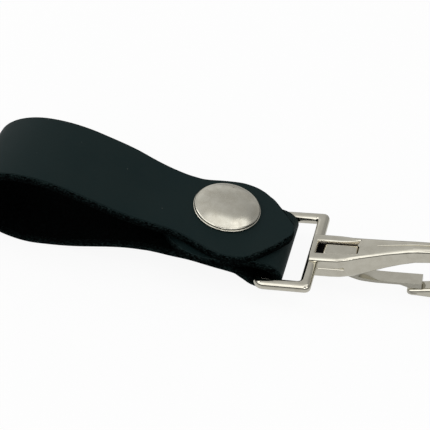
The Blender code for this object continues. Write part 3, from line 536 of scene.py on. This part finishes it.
for piece in (upper_leather, lower_leather):
    close_ends(piece)
print("divided at", round(DIVIDE, 1), "mm along the route")

# %% [markdown]
# The Curve modifier carries a flat piece along a line: what lies along X follows the line, and
# what lies across Y is set off from it. The blanks are first stood on edge, so that their
# thickness is what is set off, and the bent pieces are then laid back down.

# %% Bend the leather along its route
path = bpy.data.curves.new("strap_route", "CURVE")
path.dimensions = "2D"
spline = path.splines.new("POLY")
spline.points.add(len(route) - 1)
for point, place in zip(spline.points, route):
    point.co = ((place[0] + BAR_X) * MM, place[1] * MM, 0, 1)
guide = bpy.data.objects.new("strap_route", path)
bpy.context.collection.objects.link(guide)


def apply_turn(thing, turn):
    """Turns the piece about the world's axes and puts the turn into its mesh."""
    select_only(thing)
    thing.rotation_euler = turn
    bpy.ops.object.transform_apply(location=True, rotation=True, scale=True)


def close_and_smooth(thing, angle=40):
    """Merges doubles, turns faces outwards and shades the piece smooth up to an angle."""
    select_only(thing)
    bpy.ops.object.mode_set(mode="EDIT")
    bpy.ops.mesh.select_all(action="SELECT")
    bpy.ops.mesh.remove_doubles(threshold=1e-6)
    bpy.ops.mesh.select_all(action="SELECT")
    bpy.ops.mesh.normals_make_consistent(inside=False)
    bpy.ops.object.mode_set(mode="OBJECT")
    bpy.ops.object.shade_smooth_by_angle(angle=math.radians(angle))


for piece in (upper_leather, lower_leather):
    apply_turn(piece, (math.radians(90), 0, 0))
    apply_modifier(piece, "CURVE", object=guide, deform_axis="POS_X")
    apply_turn(piece, (math.radians(90), 0, 0))
    close_and_smooth(piece)
    corners = [Vector(c) for c in piece.bound_box]
    print(piece.name, [round(1000 * min(c[k] for c in corners), 1) for k in range(3)],
          [round(1000 * max(c[k] for c in corners), 1) for k in range(3)])
bpy.data.objects.remove(guide)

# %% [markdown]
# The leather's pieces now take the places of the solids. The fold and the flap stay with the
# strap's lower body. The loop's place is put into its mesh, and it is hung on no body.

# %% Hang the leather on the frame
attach(lower_leather, "strap")
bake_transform(upper_leather)
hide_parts("strap_lower")
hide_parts("strap_upper")
print("leather hung")

# %% [markdown]
# The hook and its frame are one casting, buffed and plated with nickel. It shines like a
# mirror that is not quite flat: the plating follows faint lengthwise lines from the buffing, and
# the casting's skin waves a little under it. Both are bumps that are almost too fine to see.

# %% Polished nickel
NICKEL, NICKEL_WORN = (0.57, 0.548, 0.47, 1), (0.50, 0.475, 0.40, 1)
STEEL, STEEL_WORN = (0.50, 0.50, 0.51, 1), (0.40, 0.39, 0.38, 1)
BUFFING_SIZE, WAVE_SIZE, STAIN_SIZE = 0.16, 3.2, 2.1
BUFFING_STRETCH = (0.06, 1, 1)


def nickel(name, colour, worn, smoothest, roughest, line_depth, wave_depth):
    """Plated metal with buffing lines along X, faint stains and a waving skin."""
    material, tree, shader = new_finish(name)
    piece = place_on_piece(tree)
    along_piece = place_on_piece(tree, stretch=BUFFING_STRETCH)
    lines = noise(tree, along_piece, BUFFING_SIZE, detail=5.0, roughness=0.6)
    waves = noise(tree, piece, WAVE_SIZE, detail=2.0)
    stains = noise(tree, piece, STAIN_SIZE, detail=6.0, roughness=0.65, distortion=0.4)
    plate = blend_colours(tree, band(tree, stains, 0.42, 0.72, 0.0, 1.0), colour, worn)
    tree.links.new(plate, shader.inputs["Base Color"])
    tree.links.new(band(tree, stains, 0.35, 0.7, smoothest, roughest), shader.inputs["Roughness"])
    shader.inputs["Metallic"].default_value = 1.0
    skin = bump(tree, waves, wave_depth, 0.6)
    skin = bump(tree, lines, line_depth, 0.5, skin)
    tree.links.new(skin, shader.inputs["Normal"])
    return material


hook_nickel = nickel("hook_nickel", NICKEL, NICKEL_WORN, smoothest=0.07, roughest=0.14,
                     line_depth=0.002, wave_depth=0.009)
spring_steel = nickel("spring_steel", STEEL, STEEL_WORN, smoothest=0.22, roughest=0.34,
                      line_depth=0.002, wave_depth=0.004)
print("nickel ready")

# %% [markdown]
# The solids of the casting have the right form but knife edges where walls meet. A copy of
# each is merged, its flat areas are cleaned of needless edges, and its sharp edges are broken
# with a small bevel, as buffing does. That thin slope is what catches the light on real metal.

# %% Break the edges of the metal pieces
HOOK_TILT = math.radians(10.4)
BAR_Z = 3.62
ROOT_TOP = 1.86
POCKET_START, POCKET_END, POCKET_HALF = 10.8, 19.9, 1.95
PLATE_START, PLATE_HALF, PLATE_TOP = 12.2, 1.6, 1.26
NEAR = 0.03
CASTING_EDGE, PIN_EDGE, SNAP_EDGE = 0.14, 0.08, 0.06
POCKET_ROUNDING, HEEL_ROUNDING, PLATE_ROUNDING = 0.34, 0.42, 0.26
SHARP_ANGLE, CASTING_ANGLE, FLAT_ANGLE = 34, 52, 0.6


def on_hook(along, up):
    """The world's X and Z, in millimetres, of a place on the tilted hook."""
    x = BAR_X + along * math.cos(HOOK_TILT) - up * math.sin(HOOK_TILT)
    return x, BAR_Z + along * math.sin(HOOK_TILT) + up * math.cos(HOOK_TILT)


def hook_place(place):
    """How far along, to the side and up on the hook a point of the world lies, in millimetres."""
    x, z = place.x / MM - BAR_X, place.z / MM - BAR_Z
    return (x * math.cos(HOOK_TILT) + z * math.sin(HOOK_TILT), place.y / MM,
            z * math.cos(HOOK_TILT) - x * math.sin(HOOK_TILT))


def on_pocket_rim(place):
    """Whether a point lies on the rim of the pocket in the hook's top."""
    along, side, up = hook_place(place)
    lengthwise = POCKET_START - NEAR < along < POCKET_END + NEAR
    if up < ROOT_TOP - NEAR or not lengthwise or abs(side) > POCKET_HALF + NEAR:
        return False
    at_end = min(abs(along - POCKET_START), abs(along - POCKET_END)) < NEAR
    return at_end or abs(abs(side) - POCKET_HALF) < NEAR


def on_plate_rim(place):
    """Whether a point lies on the upper rim of the gate's tail plate."""
    return abs(hook_place(place)[2] - PLATE_TOP) < NEAR


def on_plate_corner(place):
    """Whether a point lies on one of the two upright edges of the gate's heel."""
    along, side, up = hook_place(place)
    return abs(along - PLATE_START) < NEAR and abs(abs(side) - PLATE_HALF) < NEAR


def round_edges(piece, chosen, width_mm):
    """Rounds the edges whose two ends are both chosen."""
    ends = [chosen(vertex.co) for vertex in piece.data.vertices]
    bpy.ops.object.mode_set(mode="EDIT")
    bpy.ops.mesh.select_mode(type="EDGE")
    bpy.ops.mesh.select_all(action="DESELECT")
    bpy.ops.object.mode_set(mode="OBJECT")
    for edge in piece.data.edges:
        edge.select = ends[edge.vertices[0]] and ends[edge.vertices[1]]
    bpy.ops.object.mode_set(mode="EDIT")
    bpy.ops.mesh.bevel(offset=width_mm * MM, segments=4, affect="EDGES", clamp_overlap=False)
    bpy.ops.mesh.select_mode(type="VERT")
    bpy.ops.object.mode_set(mode="OBJECT")


def finish_solid(node, name, body, material, edge_mm, angle=SHARP_ANGLE, rounded=()):
    """A merged copy of a solid with its edges broken, which stands for it."""
    select_only(frame["nodes"][node])
    bpy.ops.object.duplicate()
    piece = bpy.context.object
    bpy.ops.object.parent_clear(type="CLEAR_KEEP_TRANSFORM")
    bpy.ops.object.transform_apply(location=True, rotation=True, scale=True)
    piece.name = name
    piece.data.name = name
    bpy.ops.object.mode_set(mode="EDIT")
    bpy.ops.mesh.select_all(action="SELECT")
    bpy.ops.mesh.remove_doubles(threshold=1e-6)
    bpy.ops.mesh.select_all(action="SELECT")
    bpy.ops.mesh.dissolve_limited(angle_limit=math.radians(FLAT_ANGLE))
    bpy.ops.object.mode_set(mode="OBJECT")
    for chosen, width_mm in rounded:
        round_edges(piece, chosen, width_mm)
    if edge_mm:
        apply_modifier(piece, "BEVEL", width=edge_mm * MM, segments=2, limit_method="ANGLE",
                       angle_limit=math.radians(angle), use_clamp_overlap=True)
    select_only(piece)
    bpy.ops.object.shade_smooth_by_angle(angle=math.radians(angle))
    apply_modifier(piece, "WEIGHTED_NORMAL", keep_sharp=True, weight=80)
    piece.data.materials.clear()
    piece.data.materials.append(material)
    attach(piece, body)
    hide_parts(node)
    print(name, len(piece.data.polygons), "faces")
    return piece


casting = finish_solid("hook_body", "hook_casting", "hook", hook_nickel, CASTING_EDGE,
                       CASTING_ANGLE, [(on_pocket_rim, POCKET_ROUNDING)])
gate = finish_solid("gate", "hook_gate", "gate", hook_nickel, CASTING_EDGE,
                    CASTING_ANGLE, [(on_plate_corner, HEEL_ROUNDING), (on_plate_rim, PLATE_ROUNDING)])
finish_solid("gate_pin", "hook_gate_pin", "hook", spring_steel, PIN_EDGE)
finish_solid("gate_spring", "hook_gate_spring", "hook", spring_steel, 0)
finish_solid("snap_ring_spring", "socket_ring_spring", "strap_top", spring_steel, 0)

# %% [markdown]
# Buffing wheels don't reach into the pocket on top of the hook, so its walls stay dull. Their colour
# is painted light and shade: pale at the rim, where light comes in, and going to black below it. How
# deep a point lies is measured square to the tilted hook. The cut edges of the gate, which is
# stamped from sheet, stay dull too. Their colour is darkened as painted shade, and the lower rounded
# edge, which faces down towards the shaded table, is painted nearly black as painted shade.

# %% Dull walls of the pocket and the gate's cut edges, with painted light and shade
POCKET_LIT = 0.55
POCKET_SHADE_DEPTH = 1.0
CUT_LEAN = 0.3
UNDERSIDE_LEAN = -0.2
# Pocket: a pale rim colour as painted light, and black deeper down as painted shade.
POCKET_PAINTED_LIGHT, POCKET_PAINTED_SHADE = (0.95, 0.88, 0.74, 1), (0.012, 0.010, 0.008, 1)
# Gate: the stamped edge is dull, and its colour is darkened as painted shade. The underside's colour is near
# black as painted shade.
STAMPED_EDGE_AND_SHADE = (0.40, 0.385, 0.33, 1)
UNDERSIDE_PAINTED_SHADE = (0.05, 0.045, 0.04, 1)
DULL_GRAIN = 0.5
DULL_DEPTH = 0.02


def dull_nickel_with_painted_shade(name, colour, shade_colour, lit=0.0, deep=-1.0):
    """Unbuffed plate whose colour goes from its own to a painted shade between two heights on the hook."""
    material, tree, shader = new_finish(name)
    place = place_on_piece(tree)
    from_bar = add_node(tree, "ShaderNodeVectorMath", {"operation": "SUBTRACT"}, i0=place,
                        i1=(BAR_X * MM, 0, BAR_Z * MM))
    height = add_node(tree, "ShaderNodeVectorMath", {"operation": "DOT_PRODUCT"},
                      i0=from_bar.outputs["Vector"], i1=(-math.sin(HOOK_TILT), 0, math.cos(HOOK_TILT)))
    share = band(tree, height.outputs["Value"], deep * MM, lit * MM, 0.0, 1.0)
    grain = noise(tree, place, DULL_GRAIN, detail=5.0)
    plate = blend_colours(tree, share, shade_colour, colour)
    tree.links.new(plate, shader.inputs["Base Color"])
    tree.links.new(band(tree, grain, 0.3, 0.7, 0.38, 0.55), shader.inputs["Roughness"])
    shader.inputs["Metallic"].default_value = 1.0
    tree.links.new(bump(tree, grain, DULL_DEPTH, 0.5), shader.inputs["Normal"])
    return material


# Painted light at the pocket's rim, going to painted shade below it.
pocket_painted_light_and_shade = dull_nickel_with_painted_shade("pocket_painted_light_and_shade", POCKET_PAINTED_LIGHT, POCKET_PAINTED_SHADE, lit=ROOT_TOP - POCKET_LIT,
                            deep=ROOT_TOP - POCKET_SHADE_DEPTH)
stamped_nickel_and_shade = dull_nickel_with_painted_shade("gate_stamped_edge_and_shade", STAMPED_EDGE_AND_SHADE, STAMPED_EDGE_AND_SHADE)
gate_underside_shade = dull_nickel_with_painted_shade("gate_underside_painted_shade", UNDERSIDE_PAINTED_SHADE, UNDERSIDE_PAINTED_SHADE)
casting.data.materials.append(pocket_painted_light_and_shade)
gate.data.materials.append(stamped_nickel_and_shade)
gate.data.materials.append(gate_underside_shade)
inside = 0
for face in casting.data.polygons:
    along, side, up = hook_place(face.center)
    lengthwise = POCKET_START - NEAR < along < POCKET_END + NEAR
    if lengthwise and abs(side) < POCKET_HALF + NEAR and up < ROOT_TOP - NEAR:
        face.material_index = 1
        inside += 1
# The gate's side faces take the darkened stamped colour, and its downward faces the near-black one, both as
# painted shade.
for face in gate.data.polygons:
    if abs(face.normal.y) > CUT_LEAN:
        face.material_index = 2 if face.normal.z < UNDERSIDE_LEAN else 1
print("pocket faces", inside)

# %% [markdown]
# The snap's cap is pressed from thin sheet and plated. Its plating is duller than the hook's:
# mottled, scuffed, and with fine scratches that run two ways and a few small pits. The scratches
# are stretched noises, and the pits are the middles of the cells of a coarse pattern.

# %% Satin nickel of the snap
SATIN_PALE, SATIN_STAINED = (0.61, 0.59, 0.51, 1), (0.50, 0.475, 0.40, 1)
SATIN_SCUFF, PIT_COLOUR = (0.66, 0.64, 0.57, 1), (0.10, 0.09, 0.07, 1)
SATIN_ROUGHNESS = (0.15, 0.30)
MOTTLE_SIZE, SCUFF_SIZE = 2.6, 0.30
MOTTLE_DEPTH, SCRATCH_DEPTH = 0.012, 0.005
SCRATCH_STRETCH = 0.05
SCRATCH_SIZES = (0.22, 0.26)
SCRATCH_TURNS = (0.7, 0.4)
PITS_PER_METRE = 420.0
PIT_PATCH_SIZE = 2.4
cap_nickel, tree, shader = new_finish("snap_nickel")
piece_place = place_on_piece(tree)
mottle = noise(tree, piece_place, MOTTLE_SIZE, detail=7.0, roughness=0.68, distortion=0.3)
scuffs = noise(tree, piece_place, SCUFF_SIZE, detail=5.0, roughness=0.7)
one_way = place_on_piece(tree, stretch=(SCRATCH_STRETCH, 1, 1), turn=(0, 0, SCRATCH_TURNS[0]))
other_way = place_on_piece(tree, stretch=(1, SCRATCH_STRETCH, 1), turn=(0, 0, SCRATCH_TURNS[1]))
scratches = [noise(tree, way, size, detail=3.0) for way, size in zip((one_way, other_way), SCRATCH_SIZES)]
plate = blend_colours(tree, band(tree, mottle, 0.38, 0.66, 0.0, 1.0), SATIN_PALE, SATIN_STAINED)
plate = blend_colours(tree, band(tree, scuffs, 0.56, 0.74, 0.0, 0.30), plate, SATIN_SCUFF)
pits = add_node(tree, "ShaderNodeTexVoronoi", Vector=piece_place, Scale=PITS_PER_METRE)
pit = band(tree, pits.outputs["Distance"], 0.05, 0.13, 1.0, 0.0)
pit_here = band(tree, noise(tree, piece_place, PIT_PATCH_SIZE, detail=1.0), 0.55, 0.62, 0.0, 0.8)
plate = blend_colours(tree, maths(tree, "MULTIPLY", pit, pit_here), plate, PIT_COLOUR)
tree.links.new(plate, shader.inputs["Base Color"])
tree.links.new(band(tree, mottle, 0.35, 0.68, *SATIN_ROUGHNESS), shader.inputs["Roughness"])
shader.inputs["Metallic"].default_value = 1.0
skin = bump(tree, mottle, MOTTLE_DEPTH, 0.5)
for scratch in scratches:
    skin = bump(tree, scratch, SCRATCH_DEPTH, 0.5, skin)
tree.links.new(skin, shader.inputs["Normal"])
print("snap finish:", len(tree.nodes), "nodes")

# %% [markdown]
# Everything on the snap's axis is turned. The section of the cap is drawn from a single point by
# extruding it step by step, and is then spun about the axis. A low dome rolls over at the rim
# into a fine groove and a narrow bead, and a flat underside closes it above the leather.

# %% Turn the snap's cap
SNAP_Y = 2.4
CAP_RADIUS = 7.4
RIM = 0.46
BEAD = 0.20
GROOVE = 0.09
CAP_BASE = 1.03
CAP_DOME = 1.05
DOME_POWER = 3.2
DOME_SHARES = (0, 0.08, 0.2, 0.32, 0.44, 0.55, 0.65, 0.73, 0.80, 0.86, 0.91, 0.95, 0.98)
SPIN_STEPS = 96


def section_line(name, points):
    """A line of points drawn by extruding one point again and again."""
    bpy.ops.object.select_all(action="DESELECT")
    bpy.ops.mesh.primitive_plane_add(size=0.001, location=(0, 0, 0))
    thing = bpy.context.object
    thing.name = name
    bpy.ops.object.mode_set(mode="EDIT")
    bpy.ops.mesh.select_all(action="SELECT")
    bpy.ops.mesh.merge(type="CENTER")
    bpy.ops.transform.translate(value=(points[0][0] * MM, 0, points[0][1] * MM))
    for here, there in zip(points, points[1:]):
        step = ((there[0] - here[0]) * MM, 0, (there[1] - here[1]) * MM)
        bpy.ops.mesh.extrude_region_move(TRANSFORM_OT_translate={"value": step})
    bpy.ops.object.mode_set(mode="OBJECT")
    return thing


def spun(name, points, steps):
    """A closed piece spun about Z from its section, (radius, height)."""
    thing = section_line(name, points)
    bpy.ops.object.mode_set(mode="EDIT")
    bpy.ops.mesh.select_all(action="SELECT")
    bpy.ops.mesh.spin(steps=steps, angle=math.tau, center=(0, 0, 0), axis=(0, 0, 1))
    bpy.ops.object.mode_set(mode="OBJECT")
    close_and_smooth(thing, 35)
    return thing


bead_middle = (CAP_RADIUS - BEAD, CAP_BASE + BEAD)
shoulder = bead_middle[0] - RIM
rim_z = CAP_BASE + 2 * BEAD + GROOVE
dome = [(shoulder * share, rim_z + RIM + CAP_DOME * (1 - share ** DOME_POWER)) for share in DOME_SHARES]
rolled = arc(shoulder, rim_z, RIM, RIM, 84, 0, 8) + [(bead_middle[0] - GROOVE, rim_z - GROOVE)]
bead = arc(*bead_middle, BEAD, BEAD, 100, -90, 9)
section = dome + rolled + bead + [(0, CAP_BASE)]
cap = spun("snap_cap_dome", section, SPIN_STEPS)
cap.data.materials.append(cap_nickel)
select_only(cap)
cap.rotation_euler = (0, SNAP_TILT, 0)
cap.location = Vector((SNAP_X + BAR_X, SNAP_Y, UPPER_Z)) * MM
bpy.ops.object.transform_apply(location=True, rotation=True, scale=True)
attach(cap, "strap_top")
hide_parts("snap_cap")
print("cap", len(cap.data.polygons), "faces")

finish_solid("snap_socket", "snap_socket_ring", "strap_top", cap_nickel, SNAP_EDGE)
finish_solid("snap_stud", "snap_stud_knob", "strap", cap_nickel, SNAP_EDGE)
finish_solid("snap_post", "snap_post_flange", "strap", cap_nickel, SNAP_EDGE)

# %% [markdown]
# Casting leaves fine raised lines where the halves of the mould met. One runs along the near
# and the far side of the hook's root, and another along the middle of the arm's top. Each is a
# line of points turned into a curve, which is given a round thickness and made a mesh again.

# %% Mould lines of the casting
ARM_START, ARM_LENGTH = 9.9, 24.9
CREST_TOP = 4.06
ARM_TOP_SHARES = ((0.56, 0.515), (0.60, 0.585), (0.627, 0.63), (0.68, 0.71), (0.747, 0.80), (0.81, 0.88),
                  (0.871, 0.95), (0.94, 0.985), (1.0, 1.0))
TOP_RIDGE = 0.20
TOP_SEAM_RADIUS = 0.16
SIDE_SEAM_RADIUS = 0.26
SIDE_SEAM_START, SIDE_SEAM_END, SIDE_SEAM_UP = 10.9, 17.2, -0.77
ROOT_HALF = 4.15


def mould_line(name, places, side, radius):
    """A fine bead through places on the hook, (along, up), at one distance to the side."""
    line = section_line(name, [on_hook(along, up) for along, up in places])
    bpy.ops.object.convert(target="CURVE")
    line.data.bevel_depth = radius * MM
    line.data.use_fill_caps = True
    bpy.ops.object.convert(target="MESH")
    bpy.ops.transform.translate(value=(0, side * MM, 0))
    bpy.ops.object.transform_apply(location=True, rotation=True, scale=True)
    close_and_smooth(line, 60)
    line.data.materials.append(hook_nickel)
    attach(line, "hook")
    print(name, len(line.data.polygons), "faces")


side_seam = [(SIDE_SEAM_START, SIDE_SEAM_UP), (SIDE_SEAM_END, SIDE_SEAM_UP)]
mould_line("mould_line_near", side_seam, -ROOT_HALF, SIDE_SEAM_RADIUS)
mould_line("mould_line_far", side_seam, ROOT_HALF, SIDE_SEAM_RADIUS)
top_rise = CREST_TOP - ROOT_TOP + TOP_RIDGE
top_seam = [(ARM_START + along * ARM_LENGTH, ROOT_TOP + up * top_rise) for along, up in ARM_TOP_SHARES]
mould_line("mould_line_top", top_seam, 0, TOP_SEAM_RADIUS)

# %% [markdown]
# The object lies on a plain white table, which takes its soft shadow. The table's own light is
# given only to the camera's and the mirror's rays, so it adds nothing to the leather. In the metal
# it is darker where it is seen at a low slant, which draws a thin dark line under bright edges.

# %% Table
TABLE_SIZE = 3.0
TABLE_Z = -0.00006
TABLE_WHITE = (0.86, 0.86, 0.86, 1)
TABLE_ROUGHNESS = 0.9
TABLE_SHEEN = 0.1
TABLE_GLOW_SHARE = 0.88
TABLE_ON_CAMERA = 1.04
METAL_SLANTS = (0.05, 0.34)
METAL_LEVELS = (0.22, 0.80)
bpy.ops.object.select_all(action="DESELECT")
bpy.ops.mesh.primitive_plane_add(size=TABLE_SIZE, location=(0, 0, TABLE_Z))
table = bpy.context.object
table.name = "white_table"
table_paint, tree, shader = new_finish("white_table_top")
shader.inputs["Base Color"].default_value = TABLE_WHITE
shader.inputs["Roughness"].default_value = TABLE_ROUGHNESS
shader.inputs["Specular IOR Level"].default_value = TABLE_SHEEN
rays = add_node(tree, "ShaderNodeLightPath")
share = maths(tree, "MAXIMUM", rays.outputs["Is Camera Ray"], rays.outputs["Is Glossy Ray"])
glow_share = maths(tree, "MULTIPLY", share, TABLE_GLOW_SHARE)
geometry = add_node(tree, "ShaderNodeNewGeometry")
looking_from = add_node(tree, "ShaderNodeSeparateXYZ", Vector=geometry.outputs["Incoming"])
in_metal = band(tree, looking_from.outputs["Z"], *METAL_SLANTS, *METAL_LEVELS)
table_level = add_node(tree, "ShaderNodeMix", {"data_type": "FLOAT"}, i0=rays.outputs["Is Camera Ray"],
                       i2=in_metal, i3=TABLE_ON_CAMERA)
shine = add_node(tree, "ShaderNodeEmission", Color=(1, 1, 1, 1), Strength=table_level.outputs[0])
surface = add_node(tree, "ShaderNodeMixShader", i0=glow_share, i1=shader.outputs[0], i2=shine.outputs[0])
tree.links.new(surface.outputs[0], tree.nodes["Material Output"].inputs["Surface"])
table.data.materials.append(table_paint)
print("table ready")

# %% [markdown]
# Polished metal shows the room around it, so the background holds a simple room that only the
# mirror's rays see: a back wall that is brighter on the left, a bright ceiling, a bright window in
# front and a small dark patch where the camera stands. Each is a band of directions, and the
# brightest one counts. The camera sees plain white, and everything else an even soft light.

# %% Room that the metal mirrors
BACK_LEVELS = ((0.0, 0.55), (0.17, 0.66), (0.33, 0.72), (0.48, 0.62), (0.60, 0.58), (0.76, 0.66))
BACK_FADE = (-0.15, 0.40, 0.10, 1.0)
BACK_LEFT_TO_RIGHT = (-0.55, 0.50, 1.22, 0.66)
CEILING = (0.80, 0.96, 0.0, 1.35)
WINDOW_HEIGHT = (0.20, 0.30, 0.0, 1.90)
WINDOW_FADE = (-0.40, 0.0, 1.0, 0.0)
CAMERA_SIDE = (0.122, -0.715, 0.690)
CAMERA_PATCH = (0.93, 0.965, 1.0, 0.03)
SOFT_LEVEL = 0.52
world = bpy.data.worlds.new("studio")
bpy.context.scene.world = world
world.use_nodes = True
tree = world.node_tree
rays = add_node(tree, "ShaderNodeLightPath")
direction = add_node(tree, "ShaderNodeTexCoord")
sides = add_node(tree, "ShaderNodeSeparateXYZ", Vector=direction.outputs["Generated"])
back_height = add_node(tree, "ShaderNodeValToRGB", Fac=sides.outputs["Z"])
ramp = back_height.color_ramp
ramp.elements[0].position, ramp.elements[0].color = 0.0, (BACK_LEVELS[0][1],) * 3 + (1,)
ramp.elements[1].position, ramp.elements[1].color = BACK_LEVELS[-1][0], (BACK_LEVELS[-1][1],) * 3 + (1,)
for height, grey in BACK_LEVELS[1:-1]:
    ramp.elements.new(height).color = (grey, grey, grey, 1)
back_wall = maths(tree, "MULTIPLY", back_height.outputs["Color"], band(tree, sides.outputs["Y"], *BACK_FADE))
back_wall = maths(tree, "MULTIPLY", back_wall, band(tree, sides.outputs["X"], *BACK_LEFT_TO_RIGHT))
ceiling = band(tree, sides.outputs["Z"], *CEILING)
window_height = band(tree, sides.outputs["Z"], *WINDOW_HEIGHT)
window = maths(tree, "MULTIPLY", window_height, band(tree, sides.outputs["Y"], *WINDOW_FADE))
room = maths(tree, "MAXIMUM", back_wall, maths(tree, "MAXIMUM", ceiling, window))
towards_camera = add_node(tree, "ShaderNodeVectorMath", {"operation": "DOT_PRODUCT"},
                          i0=direction.outputs["Generated"], i1=CAMERA_SIDE)
seen_room = maths(tree, "MULTIPLY", room, band(tree, towards_camera.outputs["Value"], *CAMERA_PATCH))
mirrored = add_node(tree, "ShaderNodeMix", {"data_type": "FLOAT"}, i0=rays.outputs["Is Glossy Ray"],
                    i2=SOFT_LEVEL, i3=seen_room)
level = add_node(tree, "ShaderNodeMix", {"data_type": "FLOAT"}, i0=rays.outputs["Is Camera Ray"],
                 i2=mirrored.outputs[0], i3=1.0)
tree.nodes["Background"].inputs["Color"].default_value = (1, 1, 1, 1)
tree.links.new(level.outputs[0], tree.nodes["Background"].inputs["Strength"])
print("room ready")

# %% [markdown]
# Two soft round lamps hang over the object: a larger one far to the left, and a smaller one to the
# right whose soft spot of light lies low on the cap's dome. A weak one fills in from the front.

# %% Lamps
LAMP_AIM = (0, 0, 0.008)


def soft_lamp(name, place, size, power):
    """A round area lamp aimed at the object, in metres and watts."""
    bpy.ops.object.light_add(type="AREA", location=place)
    lamp = bpy.context.object
    lamp.name = name
    lamp.data.shape = "DISK"
    lamp.data.size = size
    lamp.data.energy = power
    direction = Vector(LAMP_AIM) - Vector(place)
    lamp.rotation_euler = direction.to_track_quat("-Z", "Y").to_euler()
    return lamp


soft_lamp("left_window", (-0.45, 0.04, 0.42), size=0.30, power=0.5)
soft_lamp("right_overhead", (0.28, 0.14, 0.51), size=0.28, power=0.21)
soft_lamp("front_fill", (0.10, -0.60, 0.22), size=0.20, power=0.3)
print("lamps ready")

# %% [markdown]
# Last, everything is deselected.

# %% Finish
bpy.ops.object.select_all(action="DESELECT")
